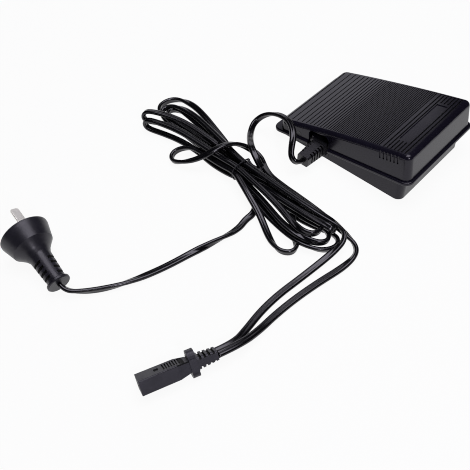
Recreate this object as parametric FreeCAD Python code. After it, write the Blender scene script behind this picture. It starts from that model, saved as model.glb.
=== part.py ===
import FreeCAD, Part
import math
import os

# Sewing machine foot pedal with its cords, hank, mains plug and machine connector.
# Millimetres. X runs from the low hinge end of the pedal to its high end, Y across it,
# Z up from the floor. The origin is under the middle of the pedal.

V = FreeCAD.Vector
X_AXIS = V(1, 0, 0)
Y_AXIS = V(0, 1, 0)
Z_AXIS = V(0, 0, 1)

# Width of the cover's body, which the tray, the ears, the pins and the stops follow
BODY_HALF_WIDTH = 46.3
COVER_WALL = 1.9
LIP_OVERHANG = 1.9
LIP_HALF_WIDTH = BODY_HALF_WIDTH + LIP_OVERHANG
COVER_INSIDE = BODY_HALF_WIDTH - COVER_WALL
TRAY_SIDE_GAP = 0.4
BASE_HALF_WIDTH = COVER_INSIDE - TRAY_SIDE_GAP

# Base tray
BASE_LENGTH = 125.0
BASE_CORNER = 6.0
BASE_UNDERSIDE = 1.0
FLOOR_THICKNESS = 1.6
FLOOR_TOP = BASE_UNDERSIDE + FLOOR_THICKNESS
BASE_DRAFT = 3.0
UPSTAND_INSET = 1.2
UPSTAND_THICKNESS = 1.4
TRAY_INSIDE = BASE_HALF_WIDTH - UPSTAND_INSET - UPSTAND_THICKNESS
UPSTAND_RISE = 4.75
LEDGE_GAP = 1.0
LOW_END_STEP = 9.0
CROSS_WALL = 1.5
CROSS_WALL_TOP = 7.8

# Treadle cover, in its own frame: lip plane at zero, low end of the lip at zero
TILT = 8.46
COVER_X = -1.43
COVER_Z = 2.98
LIP_LENGTH = 134.1
LIP_CORNER = 7.5
LIP_THICKNESS = 3.0
COVER_TOP = 2.2
BODY_LOW_X = 6.0
BODY_HIGH_X = 132.2
BODY_CORNER = 6.0
LOW_SLOPE = 9.5
HIGH_SLOPE = 2.8
SIDE_SLOPE = 3.0
LOFT_HEIGHT = 32.0
TOP_LOW = (8.67, 11.83)
TOP_HIGH = (130.95, 25.59)
TOP_CROWN = 1.2
TOP_FILLET = 4.0

# Grooves across the treadle, packed closer towards the high end
GROOVE_FIRST = 11.5
GROOVE_PITCH_WIDE = 6.4
GROOVE_SHRINK = 0.915
GROOVE_PITCH_FINE = 1.8
GROOVE_FINE_END = 103.2
GROOVE_WIDTH = 1.0
GROOVE_WIDTH_FINE = 0.95
GROOVE_DEPTH = 0.7
GROOVE_REACH = 41.3
GRIP_FIRST = 105.8
GRIP_PITCH = 3.1
GRIP_COUNT = 7
GRIP_WIDTH = 1.2
RECESS_FROM = 110.3
RECESS_TO = 119.7
RECESS_HALF = 27.0
RECESS_DEPTH = 0.6
SIDE_NOTCH_COUNT = 6
SIDE_NOTCH_HEIGHT = 7.0

# Arch for the cord in the near wall
ARCH_X = 48.0
ARCH_WIDTH = 20.0
ARCH_TOP = 13.5
ARCH_CORNER = 4.0

# Hinge
HINGE_X = 25.0
HINGE_Z = 12.2
PIN_RADIUS = 1.6
PIN_CLEARANCE = 0.05
PIN_HEAD_RADIUS = 2.6
PIN_HEAD = 1.0
EAR_GAP = 1.4
EAR_THICKNESS = 2.2
EAR_OUTER = COVER_INSIDE - EAR_GAP
EAR_INNER = EAR_OUTER - EAR_THICKNESS
EAR_RADIUS = 4.2
PIN_PAST_EAR = 3.2
PIN_INNER_END = EAR_INNER - PIN_PAST_EAR
CLIP_FROM_PIN_END = 1.3
CLIP_RADIUS = 3.2
CLIP_THICKNESS = 0.8
PRESS_ANGLE = 7.0

# Cord boot in the base wall
BOOT_X = 46.0
BOOT_Z = 10.5
BOOT_WALL_OUT = BASE_HALF_WIDTH - 0.1
BOOT_WALL_IN = TRAY_INSIDE - 0.4
BOOT_REACH = 23.0
BOOT_END = BASE_HALF_WIDTH + BOOT_REACH
BOOT_NECK = 9.0

# Flat two-core cord, as a round tube of the same section area
CORD_WIDTH = 5.6
CORD_HEIGHT = 3.2
CORD_TUBE = 4.4

# Spring, stops, board and slider places
SPRING_X = 100.0
SPRING_MEAN = 6.5
SPRING_WIRE = 0.8
SPRING_TURNS = 8
SPRING_SEAT = 33.0
GUIDE_RADIUS = 4.9
BUMPER_X = 113.0
BUMPER_FROM_SIDE = 11.0
BUMPER_Y = BASE_HALF_WIDTH - BUMPER_FROM_SIDE
BUMPER_POST_TOP = 20.0
BUMPER_TOP = 23.5
PEG_RADIUS = 3.2
STOP_GAP = 0.4
BOARD_X0 = 50.0
BOARD_X1 = 90.0
BOARD_FROM_SIDE = 16.0
BOARD_Y0 = -(BASE_HALF_WIDTH - BOARD_FROM_SIDE)
BOARD_Y1 = 24.0
BOARD_Z = 7.0
BOARD_THICKNESS = 1.6
BOARD_TOP = BOARD_Z + BOARD_THICKNESS
SLIDER_X = 84.0
SLIDER_FROM_SIDE = 10.0
SLIDER_Y = BASE_HALF_WIDTH - SLIDER_FROM_SIDE
SLIDER_TOP = 16.0
WIPER_BOTTOM = 11.0
WIPER_TOP = 25.0
PUSH_RADIUS = 2.5
PUSH_GAP = 0.4

FIT = 0.1
ORIGIN_X = 64.8


def box(x0, x1, y0, y1, z0, z1):
    return Part.makeBox(x1 - x0, y1 - y0, z1 - z0, V(x0, y0, z0))


def rod(at, axis, radius, length):
    return Part.makeCylinder(radius, length, at, axis)


def cone(at, axis, r0, r1, length):
    return Part.makeCone(r0, r1, length, at, axis)


def outline(x0, x1, half, corner, z):
    """Rounded rectangle as a wire at one height."""
    k = corner * (1 - math.sqrt(0.5))
    edges = []
    corners = [(x1, -half, -1, 1, -90), (x1, half, -1, -1, 0), (x0, half, 1, -1, 90), (x0, -half, 1, 1, 180)]
    marks = []
    for cx, cy, sx, sy, turn in corners:
        if turn in (-90, 90):
            first = V(cx + sx * corner, cy, z)
            last = V(cx, cy + sy * corner, z)
        else:
            first = V(cx, cy + sy * corner, z)
            last = V(cx + sx * corner, cy, z)
        marks.append((first, V(cx + sx * k, cy + sy * k, z), last))
    for i, (first, mid, last) in enumerate(marks):
        edges.append(Part.Arc(first, mid, last).toShape())
        edges.append(Part.LineSegment(last, marks[(i + 1) % 4][0]).toShape())
    return Part.Wire(edges)


def drafted(x0, x1, half, corner, z0, z1, slope_low, slope_high, slope_side, corner_top=None):
    """Rounded block whose walls lean in by the given slopes in degrees."""
    h = z1 - z0
    lower = outline(x0, x1, half, corner, z0)
    upper = outline(
        x0 + h * math.tan(math.radians(slope_low)),
        x1 - h * math.tan(math.radians(slope_high)),
        half - h * math.tan(math.radians(slope_side)),
        corner if corner_top is None else corner_top,
        z1,
    )
    return Part.makeLoft([lower, upper], True, True)


def side_profile(points, half=80.0):
    """Extrudes a closed outline in X and Z across the part."""
    wire = Part.makePolygon([V(x, -half, z) for x, z in points] + [V(points[0][0], -half, points[0][1])])
    return Part.Face(wire).extrude(V(0, 2 * half, 0))


def fillet_where(shape, radius, test):
    edges = [e for e in shape.Edges if test(e)]
    return shape.makeFillet(radius, edges)


def tilt_up(shape):
    """Moves a shape from the cover's own frame to its place at rest."""
    out = shape.copy()
    out.rotate(V(0, 0, 0), Y_AXIS, -TILT)
    out.translate(V(COVER_X, 0, COVER_Z))
    return out


def untilt(shape):
    """Moves a shape from the base frame to the cover's own frame."""
    out = shape.copy()
    out.translate(V(-COVER_X, 0, -COVER_Z))
    out.rotate(V(0, 0, 0), Y_AXIS, TILT)
    return out


def fuse(shapes):
    out = shapes[0]
    rest = shapes[1:]
    if rest:
        out = out.fuse(rest)
    return out.removeSplitter()


# Top surface of the treadle: one long arc in X and Z
top_chord = math.hypot(TOP_HIGH[0] - TOP_LOW[0], TOP_HIGH[1] - TOP_LOW[1])
top_radius = (top_chord / 2) ** 2 / (2 * TOP_CROWN) + TOP_CROWN / 2
top_angle = math.atan2(TOP_HIGH[1] - TOP_LOW[1], TOP_HIGH[0] - TOP_LOW[0])
top_mid = ((TOP_LOW[0] + TOP_HIGH[0]) / 2, (TOP_LOW[1] + TOP_HIGH[1]) / 2)
top_centre = (
    top_mid[0] + math.sin(top_angle) * (top_radius - TOP_CROWN),
    top_mid[1] - math.cos(top_angle) * (top_radius - TOP_CROWN),
)


def top_height(x, inset=0.0):
    r = top_radius - inset
    return top_centre[1] + math.sqrt(r * r - (x - top_centre[0]) ** 2)


def top_slope(x):
    return math.degrees(math.atan2(-(x - top_centre[0]), top_height(x) - top_centre[1]))


def under_top(inset, bottom=-2.0):
    """Solid block under the treadle surface, lowered by the inset."""
    x0 = -4.0
    x1 = 142.0
    a = V(x0, -80, top_height(x0, inset))
    m = V(70, -80, top_height(70, inset))
    b = V(x1, -80, top_height(x1, inset))
    edges = [
        Part.Arc(a, m, b).toShape(),
        Part.LineSegment(b, V(x1, -80, bottom)).toShape(),
        Part.LineSegment(V(x1, -80, bottom), V(x0, -80, bottom)).toShape(),
        Part.LineSegment(V(x0, -80, bottom), a).toShape(),
    ]
    return Part.Face(Part.Wire(edges)).extrude(V(0, 160, 0))


# Treadle cover: outer body, lip, cavity
body = drafted(
    BODY_LOW_X, BODY_HIGH_X, BODY_HALF_WIDTH, BODY_CORNER, 0.0, LOFT_HEIGHT,
    LOW_SLOPE, HIGH_SLOPE, SIDE_SLOPE, 5.0,
)
body = body.common(under_top(0.0))
top_face = max(body.Faces, key=lambda f: f.CenterOfMass.z)
body = body.makeFillet(TOP_FILLET, top_face.Edges)

lip = Part.Face(outline(0, LIP_LENGTH, LIP_HALF_WIDTH, LIP_CORNER, 0)).extrude(V(0, 0, LIP_THICKNESS))
lip = fillet_where(lip, 1.2, lambda e: e.BoundBox.ZMin > LIP_THICKNESS - 0.01)
lip = fillet_where(lip, 0.8, lambda e: e.BoundBox.ZMax < 0.01)

inner_drop = 1.0
cavity = drafted(
    BODY_LOW_X + COVER_WALL - inner_drop * math.tan(math.radians(LOW_SLOPE)),
    BODY_HIGH_X - COVER_WALL + inner_drop * math.tan(math.radians(HIGH_SLOPE)),
    BODY_HALF_WIDTH - COVER_WALL + inner_drop * math.tan(math.radians(SIDE_SLOPE)),
    BODY_CORNER - COVER_WALL,
    -inner_drop, LOFT_HEIGHT - 1.0,
    LOW_SLOPE, HIGH_SLOPE, SIDE_SLOPE, 3.1,
)
cavity = cavity.common(under_top(COVER_TOP))
core_block = body.fuse(lip)
shell = core_block.cut(cavity)

# Features inside the cover, drawn in the base frame and trimmed under the skin
skin_trim = tilt_up(body.common(under_top(COVER_TOP / 2)))
hang_top = 60.0


def pressed_z(x, z):
    """Height of a treadle point when the treadle is fully down."""
    a = math.radians(PRESS_ANGLE)
    return HINGE_Z + (z - HINGE_Z) * math.cos(a) - (x - HINGE_X) * math.sin(a)


def rest_z(x, z_down):
    a = math.radians(PRESS_ANGLE)
    return HINGE_Z + (z_down - HINGE_Z + (x - HINGE_X) * math.sin(a)) / math.cos(a)


peg_bottom = rest_z(BUMPER_X, BUMPER_TOP + STOP_GAP) + PEG_RADIUS * math.tan(math.radians(PRESS_ANGLE))
inner_parts = []
for side in (-1, 1):
    peg = rod(V(BUMPER_X, side * BUMPER_Y, peg_bottom), Z_AXIS, PEG_RADIUS, hang_top - peg_bottom)
    web = box(
        BUMPER_X - 0.7, BUMPER_X + 0.7, side * BUMPER_Y - 7, side * BUMPER_Y + 7, peg_bottom + 3, hang_top
    )
    inner_parts += [peg, web]

# Spring seat with a guide boss
seat_pad = rod(V(SPRING_X, 0, SPRING_SEAT), Z_AXIS, 9.0, hang_top - SPRING_SEAT)
seat_boss = rod(V(SPRING_X, 0, SPRING_SEAT - 7.0), Z_AXIS, GUIDE_RADIUS, 7.5)
inner_parts += [seat_pad, seat_boss]

# Leg that hooks under the rib of the base so that the treadle cannot lift off
leg = box(112.5, 114.5, -5, 5, 18.0, hang_top)
barb = box(112.5, 119.5, -5, 5, 18.0, 20.5)
inner_parts += [leg, barb]

# Peg that pushes the slider
push_centre = WIPER_TOP + PUSH_GAP + PUSH_RADIUS
push = rod(V(SLIDER_X, SLIDER_Y, push_centre), Z_AXIS, PUSH_RADIUS, hang_top - push_centre)
push_tip = Part.makeSphere(PUSH_RADIUS, V(SLIDER_X, SLIDER_Y, push_centre))
inner_parts += [push, push_tip]

# Stiffening ribs across the inside of the top
ribs = []
for rib_x in (40.0, 70.0, 94.0):
    rib = box(rib_x - 0.6, rib_x + 0.6, -COVER_INSIDE, COVER_INSIDE, 0, hang_top)
    ribs.append(rib)
rib_zone = tilt_up(body.common(under_top(COVER_TOP / 2)).cut(under_top(COVER_TOP + 2.5)))
rib_solids = [r.common(rib_zone) for r in ribs]

# Inner bosses at the hinge holes
hinge_boss = []
for side in (-1, 1):
    y0 = side * (EAR_OUTER + 0.15)
    hinge_boss.append(rod(V(HINGE_X, y0, HINGE_Z), V(0, side, 0), 3.8, EAR_GAP + 0.8))

cover = tilt_up(shell)
inner_trimmed = [p.common(skin_trim) for p in inner_parts]
cover = cover.fuse(inner_trimmed + rib_solids + hinge_boss)

# Hinge holes with counterbores in the outside of the side walls
wall_at_hinge = BODY_HALF_WIDTH - 5.2 * math.tan(math.radians(SIDE_SLOPE))
cuts = []
for side in (-1, 1):
    hole = rod(
        V(HINGE_X, side * (EAR_OUTER - 1.0), HINGE_Z), V(0, side, 0), PIN_RADIUS + PIN_CLEARANCE, 8.0
    )
    bore = rod(
        V(HINGE_X, side * (wall_at_hinge - PIN_HEAD), HINGE_Z), V(0, side, 0), PIN_HEAD_RADIUS + 0.2, 5.0
    )
    cuts += [hole, bore]

# Arch for the cord
arch_z0 = -3.0
arch = box(ARCH_X - ARCH_WIDTH / 2, ARCH_X + ARCH_WIDTH / 2, -60, -38, arch_z0, ARCH_TOP)
arch = fillet_where(
    arch, ARCH_CORNER,
    lambda e: e.BoundBox.ZMin > ARCH_TOP - 0.01 and e.BoundBox.XLength < 0.01,
)
cuts.append(tilt_up(arch))

# Grooves
groove_places = []
at = GROOVE_FIRST
pitch = GROOVE_PITCH_WIDE
while at < GROOVE_FINE_END:
    fine = pitch <= GROOVE_PITCH_FINE + 0.01
    groove_places.append((at, GROOVE_WIDTH_FINE if fine else GROOVE_WIDTH, None))
    pitch = max(pitch * GROOVE_SHRINK, GROOVE_PITCH_FINE)
    at += pitch
for i in range(GRIP_COUNT):
    at = GRIP_FIRST + GRIP_PITCH * i
    broken = RECESS_FROM < at < RECESS_TO
    groove_places.append((at, GRIP_WIDTH, RECESS_HALF if broken else None))


def groove_tool(x, width, y0, y1):
    h = top_height(x)
    bar = box(-width / 2, width / 2, y0, y1, -GROOVE_DEPTH, 3.0)
    bar.rotate(V(0, 0, 0), Y_AXIS, -top_slope(x))
    bar.translate(V(x, 0, h))
    return bar


groove_tools = []
for x, width, gap in groove_places:
    if gap is None:
        groove_tools.append(groove_tool(x, width, -GROOVE_REACH, GROOVE_REACH))
    else:
        groove_tools.append(groove_tool(x, width, -GROOVE_REACH, -gap - 2.0))
        groove_tools.append(groove_tool(x, width, gap + 2.0, GROOVE_REACH))
recess_mid = (RECESS_FROM + RECESS_TO) / 2
recess = box(
    -(RECESS_TO - RECESS_FROM) / 2, (RECESS_TO - RECESS_FROM) / 2,
    -RECESS_HALF, RECESS_HALF, -RECESS_DEPTH, 3.0
)
recess.rotate(V(0, 0, 0), Y_AXIS, -top_slope(recess_mid))
recess.translate(V(recess_mid, 0, top_height(recess_mid)))
groove_tools.append(recess)

# Short notches down the side walls beside the wide grooves
for i in range(SIDE_NOTCH_COUNT):
    x = GRIP_FIRST + GRIP_PITCH * i
    z1 = top_height(x) - 1.6
    for side in (-1, 1):
        y_in = BODY_HALF_WIDTH - z1 * math.tan(math.radians(SIDE_SLOPE)) - 0.45
        pair = sorted((side * y_in, side * (y_in + 4)))
        groove_tools.append(box(x - 0.6, x + 0.6, pair[0], pair[1], z1 - SIDE_NOTCH_HEIGHT, z1 + 0.4))

cuts += [tilt_up(t) for t in groove_tools]
cover = cover.cut(cuts)
treadle_cover = cover

# Base tray
base_loft_top = 30.0
base_rise = base_loft_top - BASE_UNDERSIDE


def base_block(inset, z0):
    grow = (z0 - BASE_UNDERSIDE) * math.tan(math.radians(BASE_DRAFT))
    return drafted(
        inset + grow, BASE_LENGTH - inset - grow, BASE_HALF_WIDTH - inset - grow, BASE_CORNER - inset,
        z0, base_loft_top, BASE_DRAFT, BASE_DRAFT, BASE_DRAFT, BASE_CORNER - inset - 0.5,
    )


def flange_z(x):
    return COVER_Z + math.tan(math.radians(TILT)) * (x - COVER_X)


def ledge_z(x):
    return flange_z(x) - LEDGE_GAP


outer_profile = side_profile([
    (-5, BASE_UNDERSIDE), (130, BASE_UNDERSIDE), (130, ledge_z(130)),
    (LOW_END_STEP, ledge_z(LOW_END_STEP)), (LOW_END_STEP, FLOOR_TOP), (-5, FLOOR_TOP),
])
upstand_profile = side_profile([
    (LOW_END_STEP, BASE_UNDERSIDE), (130, BASE_UNDERSIDE), (130, ledge_z(130) + UPSTAND_RISE),
    (LOW_END_STEP, ledge_z(LOW_END_STEP) + UPSTAND_RISE),
])
tray_outer = base_block(0.0, BASE_UNDERSIDE).common(outer_profile)
tray_upstand = base_block(UPSTAND_INSET, BASE_UNDERSIDE).common(upstand_profile)
tray_hollow = base_block(UPSTAND_INSET + UPSTAND_THICKNESS, FLOOR_TOP)
tray = tray_outer.fuse(tray_upstand).cut(tray_hollow)
cross_wall = box(
    LOW_END_STEP, LOW_END_STEP + CROSS_WALL, -TRAY_INSIDE - 0.1,
    TRAY_INSIDE + 0.1, FLOOR_TOP - 0.2, CROSS_WALL_TOP
)

tray_parts = [cross_wall]

# Hinge ears
for side in (-1, 1):
    y_a, y_b = sorted((side * EAR_INNER, side * EAR_OUTER))
    tray_parts.append(box(HINGE_X - EAR_RADIUS, HINGE_X + EAR_RADIUS, y_a, y_b, FLOOR_TOP - 0.2, HINGE_Z))
    tray_parts.append(rod(V(HINGE_X, y_a, HINGE_Z), Y_AXIS, EAR_RADIUS, EAR_OUTER - EAR_INNER))

# Wall pad that carries the boot
pad_top = BOOT_Z + 5.7
tray_parts.append(box(BOOT_X - 9.0, BOOT_X + 9.0, -BOOT_WALL_OUT, -BOOT_WALL_IN, FLOOR_TOP - 0.2, pad_top))

# Block under the cord clamp
clamp_y0 = -BOOT_WALL_IN + 4.5
clamp_y1 = clamp_y0 + 5.0
cord_bottom = BOOT_Z - CORD_HEIGHT / 2
clamp_block_top = cord_bottom - 0.05
tray_parts.append(box(BOOT_X - 10, BOOT_X + 10, clamp_y0, clamp_y1, FLOOR_TOP - 0.2, clamp_block_top))

# Spring post, bumper posts, board posts
tray_parts.append(rod(V(SPRING_X, 0, FLOOR_TOP - 0.2), Z_AXIS, GUIDE_RADIUS, 9.2))
for side in (-1, 1):
    tray_parts.append(
        rod(V(BUMPER_X, side * BUMPER_Y, FLOOR_TOP - 0.2), Z_AXIS, 4.4, BUMPER_POST_TOP - FLOOR_TOP + 0.2)
    )
    rib_y = sorted((side * BUMPER_Y, side * (BUMPER_Y + 8.4)))
    tray_parts.append(
        box(BUMPER_X - 0.8, BUMPER_X + 0.8, rib_y[0], rib_y[1], FLOOR_TOP - 0.2, BUMPER_POST_TOP - 4)
    )
board_holes = [
    (BOARD_X0 + 4, BOARD_Y0 + 4), (BOARD_X1 - 4, BOARD_Y0 + 4),
    (BOARD_X0 + 4, BOARD_Y1 - 4), (BOARD_X1 - 4, BOARD_Y1 - 4)
]
for hx, hy in board_holes:
    tray_parts.append(rod(V(hx, hy, FLOOR_TOP - 0.2), Z_AXIS, 2.6, BOARD_Z - FLOOR_TOP + 0.2 - 0.02))

# Hook rib at the high end for the stop leg
tray_parts.append(box(117.0, 122.3, -6, 6, 21.0, 23.0))
for y in (-6, 5):
    tray_parts.append(box(119.8, 122.3, y, y + 1, FLOOR_TOP - 0.2, 21.2))

# Stiffening ribs on the floor
for x in (34.0, 96.0):
    tray_parts.append(
        box(x - 0.6, x + 0.6, -TRAY_INSIDE - 0.1, TRAY_INSIDE + 0.1, FLOOR_TOP - 0.2, FLOOR_TOP + 1.2)
    )

base_tray = tray.fuse(tray_parts)

base_cuts = []
for side in (-1, 1):
    base_cuts.append(
        rod(V(HINGE_X, side * (EAR_INNER - 4), HINGE_Z), V(0, side, 0), PIN_RADIUS + FIT / 2, 10)
    )
slot_half = BOOT_NECK / 2
base_cuts.append(box(
    BOOT_X - slot_half, BOOT_X + slot_half, -BOOT_WALL_OUT - 2,
    -BOOT_WALL_IN + 2, BOOT_Z - slot_half, pad_top + 10
))
clamp_screws_x = (BOOT_X - 6.6, BOOT_X + 6.6)
clamp_y = (clamp_y0 + clamp_y1) / 2
for x in clamp_screws_x:
    base_cuts.append(rod(V(x, clamp_y, 4.0), Z_AXIS, 1.35, 8))
for hx, hy in board_holes:
    base_cuts.append(rod(V(hx, hy, 3.4), Z_AXIS, 1.05, 6))
FEET = [(12.0, BUMPER_Y), (12.0, -BUMPER_Y), (BUMPER_X, BUMPER_Y), (BUMPER_X, -BUMPER_Y)]
FOOT_RADIUS = 6.0
FOOT_SEAT = 0.6
for x, y in FEET:
    base_cuts.append(rod(V(x, y, BASE_UNDERSIDE - 0.5), Z_AXIS, FOOT_RADIUS + 0.1, FOOT_SEAT + 0.5))
for y in (BUMPER_Y, -BUMPER_Y):
    base_cuts.append(rod(V(BUMPER_X, y, BUMPER_POST_TOP - 5.0), Z_AXIS, 1.55, 6.0))
base_tray = base_tray.cut(base_cuts)

# Rubber feet and stop bumpers
rubber_feet = Part.makeCompound([
    rod(V(x, y, 0), Z_AXIS, FOOT_RADIUS, BASE_UNDERSIDE + FOOT_SEAT - 0.02) for x, y in FEET
])
bumpers = []
for y in (BUMPER_Y, -BUMPER_Y):
    head = rod(V(BUMPER_X, y, BUMPER_POST_TOP + 0.02), Z_AXIS, 4.0, BUMPER_TOP - BUMPER_POST_TOP - 0.02)
    head = fillet_where(
        head, 0.8, lambda e: e.BoundBox.ZMin > BUMPER_TOP - 0.01 and e.BoundBox.ZLength < 0.01
    )
    stem = rod(V(BUMPER_X, y, BUMPER_POST_TOP - 4.5), Z_AXIS, 1.5, 4.8)
    bumpers.append(head.fuse(stem).removeSplitter())
stop_bumpers = Part.makeCompound(bumpers)

# Hinge pins with clips
pins = []
clips = []
for side in (-1, 1):
    shank_len = wall_at_hinge - PIN_HEAD + 0.1 - PIN_INNER_END
    shank = rod(V(HINGE_X, side * PIN_INNER_END, HINGE_Z), V(0, side, 0), PIN_RADIUS, shank_len)
    head = rod(
        V(HINGE_X, side * (wall_at_hinge - PIN_HEAD + 0.05), HINGE_Z), V(0, side, 0), PIN_HEAD_RADIUS, 0.9
    )
    pin = shank.fuse(head).removeSplitter()
    clip_y = PIN_INNER_END + CLIP_FROM_PIN_END
    groove = rod(V(HINGE_X, side * clip_y, HINGE_Z), V(0, side, 0), 3.0, CLIP_THICKNESS + 0.1)
    groove = groove.cut(rod(V(HINGE_X, side * (clip_y - 0.1), HINGE_Z), V(0, side, 0), 1.2, 2.0))
    pin = pin.cut(groove)
    pins.append(pin)
    clip = rod(V(HINGE_X, side * (clip_y + 0.05), HINGE_Z), V(0, side, 0), CLIP_RADIUS, CLIP_THICKNESS)
    clip = clip.cut(rod(V(HINGE_X, side * (clip_y - 0.4), HINGE_Z), V(0, side, 0), 1.25, 3.0))
    slot = box(HINGE_X - 1.2, HINGE_X + 1.2, -60, 60, HINGE_Z, HINGE_Z + 5)
    clip = clip.cut(slot)
    clips.append(clip)
hinge_pins = Part.makeCompound(pins)
pin_clips = Part.makeCompound(clips)

# Cord boot: neck in the wall slot, inner flange, outer collar, slotted taper
boot_neck = box(
    BOOT_X - slot_half + FIT / 2, BOOT_X + slot_half - FIT / 2, -BOOT_WALL_OUT - 0.2, -BOOT_WALL_IN + 0.2,
    BOOT_Z - slot_half + FIT / 2, BOOT_Z + 4.4,
)
boot_inner = box(
    BOOT_X - 6.2, BOOT_X + 6.2, -BOOT_WALL_IN + FIT / 2, -BOOT_WALL_IN + 2.0, BOOT_Z - 6.0, BOOT_Z + 6.0
)
boot_collar = box(
    BOOT_X - 7.4, BOOT_X + 7.4, -BOOT_WALL_OUT - 3.2, -BOOT_WALL_OUT - FIT, BOOT_Z - 6.3, BOOT_Z + 6.3
)
boot_collar = fillet_where(
    boot_collar, 2.0, lambda e: e.BoundBox.YLength > 3.0 and e.BoundBox.XLength < 0.01
)


def section_y(y, half_x, half_z, corner):
    wire = outline(-half_x, half_x, half_z, corner, 0)
    wire.rotate(V(0, 0, 0), X_AXIS, 90)
    wire.translate(V(BOOT_X, y, BOOT_Z))
    return wire


taper_from = -BOOT_WALL_OUT - 3.2
taper = Part.makeLoft(
    [section_y(taper_from + 0.1, 6.6, 5.7, 2.2), section_y(-BOOT_END, 5.4, 4.9, 2.0)], True, True
)
slot_cuts = []
SLOT_WIDTH = 1.5
SLOT_COUNT = 5
slot_pitch = (BOOT_END + taper_from - 4.2) / SLOT_COUNT
for i in range(SLOT_COUNT):
    y = taper_from - 1.6 - slot_pitch * i
    for side in (-1, 1):
        x_a, x_b = sorted((BOOT_X + side * 3.1, BOOT_X + side * 12))
        slot_cuts.append(box(x_a, x_b, y - SLOT_WIDTH, y, BOOT_Z - 9, BOOT_Z + 9))
taper = taper.cut(slot_cuts)
cord_boot = fuse([boot_neck, boot_inner, boot_collar, taper])

# Cord inside the tray with its clamp
inner_y0 = -BOOT_WALL_IN + 2.0 + 0.05
inner_y1 = clamp_y1 + 4.0
cord_in = box(
    BOOT_X - CORD_WIDTH / 2, BOOT_X + CORD_WIDTH / 2, inner_y0,
    inner_y1, cord_bottom, cord_bottom + CORD_HEIGHT
)
cord_inner_end = fillet_where(cord_in, 1.3, lambda e: e.BoundBox.YLength > 5)
clamp_bar = box(
    BOOT_X - 9.5, BOOT_X + 9.5, clamp_y0, clamp_y1, clamp_block_top + 0.03, cord_bottom + CORD_HEIGHT + 2.2
)
channel = box(
    BOOT_X - CORD_WIDTH / 2 - 0.1, BOOT_X + CORD_WIDTH / 2 + 0.1, clamp_y0 - 1, clamp_y1 + 1,
    0, cord_bottom + CORD_HEIGHT + 0.05,
)
cord_clamp = clamp_bar.cut(channel)
clamp_top = cord_bottom + CORD_HEIGHT + 2.2
clamp_screws = []
for x in clamp_screws_x:
    cord_clamp = cord_clamp.cut(rod(V(x, clamp_y, 0), Z_AXIS, 1.4, 30))
    head = rod(V(x, clamp_y, clamp_top + 0.02), Z_AXIS, 2.4, 1.5)
    head = head.cut(box(x - 0.35, x + 0.35, clamp_y - 2, clamp_y + 2, clamp_top + 0.9, clamp_top + 3))
    shank = rod(V(x, clamp_y, 4.2), Z_AXIS, 1.3, clamp_top - 4.2 + 0.3)
    clamp_screws.append(head.fuse(shank).removeSplitter())
cord_clamp_screws = Part.makeCompound(clamp_screws)

# Circuit board on its posts, screws, insulation sheet
board = box(BOARD_X0, BOARD_X1, BOARD_Y0, BOARD_Y1, BOARD_Z, BOARD_TOP)
for hx, hy in board_holes:
    board = board.cut(rod(V(hx, hy, 0), Z_AXIS, 1.4, 20))
circuit_board = board
screws = []
for hx, hy in board_holes:
    head = rod(V(hx, hy, BOARD_TOP + 0.02), Z_AXIS, 2.2, 1.3)
    head = head.cut(box(hx - 0.3, hx + 0.3, hy - 1.8, hy + 1.8, BOARD_TOP + 0.8, BOARD_TOP + 3))
    shank = rod(V(hx, hy, 3.6), Z_AXIS, 1.0, BOARD_TOP - 3.6 + 0.3)
    screws.append(head.fuse(shank).removeSplitter())
board_screws = Part.makeCompound(screws)
sheet = box(BOARD_X0 + 1, BOARD_X1 - 1, BOARD_Y0 + 1, BOARD_Y1 - 1, FLOOR_TOP + 0.02, FLOOR_TOP + 0.4)
for hx, hy in board_holes:
    sheet = sheet.cut(rod(V(hx, hy, 0), Z_AXIS, 2.8, 20))
insulation_sheet = sheet

# Parts on the board
seat = BOARD_TOP + 0.02
BLOCK_X0 = 58.0
BLOCK_LENGTH = 16.0
BLOCK_WIDTH = 8.0
BLOCK_HEIGHT = 9.0
BLOCK_HOLE_FIRST = 3.0
BLOCK_HOLE_PITCH = 5.0
BLOCK_HOLE_Z = seat + 3.2
block_y0 = BOARD_Y0 + 1.0
block_y1 = block_y0 + BLOCK_WIDTH
block = box(BLOCK_X0, BLOCK_X0 + BLOCK_LENGTH, block_y0, block_y1, seat, seat + BLOCK_HEIGHT)
hole_places = [BLOCK_X0 + BLOCK_HOLE_FIRST + BLOCK_HOLE_PITCH * i for i in range(3)]
for cx in hole_places:
    block = block.cut(rod(V(cx, (block_y0 + block_y1) / 2, seat + 4), Z_AXIS, 1.6, 10))
    block = block.cut(rod(V(cx, block_y0 - 1.0, BLOCK_HOLE_Z), Y_AXIS, 1.2, 4.5))
terminal_block = block

triac_body = box(80.6, 85.2, -8, 2.2, seat + 2.0, seat + 11.0)
tab = box(85.2, 86.5, -8, 2.2, seat + 2.0, seat + 11.2)
triac_legs = [box(82.3, 82.9, y, y + 0.8, seat, seat + 2.1) for y in (-5.9, -3.3, -0.7)]
triac = fuse([triac_body, tab] + triac_legs)
sink_x = 86.55
sink_plate = box(sink_x, sink_x + 1.6, -13, 7, seat, seat + 11.3)
sink = sink_plate
for y in (-13, -8.8, -3.6, 1.6, 5.8):
    sink = sink.fuse(box(sink_x + 1.5, sink_x + 3.3, y, y + 1.2, seat, seat + 11.3))
heat_sink = sink.removeSplitter()

cap = box(60, 78, -14, -6, seat, seat + 10.5)
suppression_capacitor = fillet_where(cap, 0.8, lambda e: e.BoundBox.ZMin > seat + 1)
timing = rod(V(56, 2, seat), Z_AXIS, 4.0, 9.0)
timing_capacitor = fillet_where(
    timing, 0.6, lambda e: e.BoundBox.ZMin > seat + 8.9 and e.BoundBox.ZLength < 0.01
)

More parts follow.
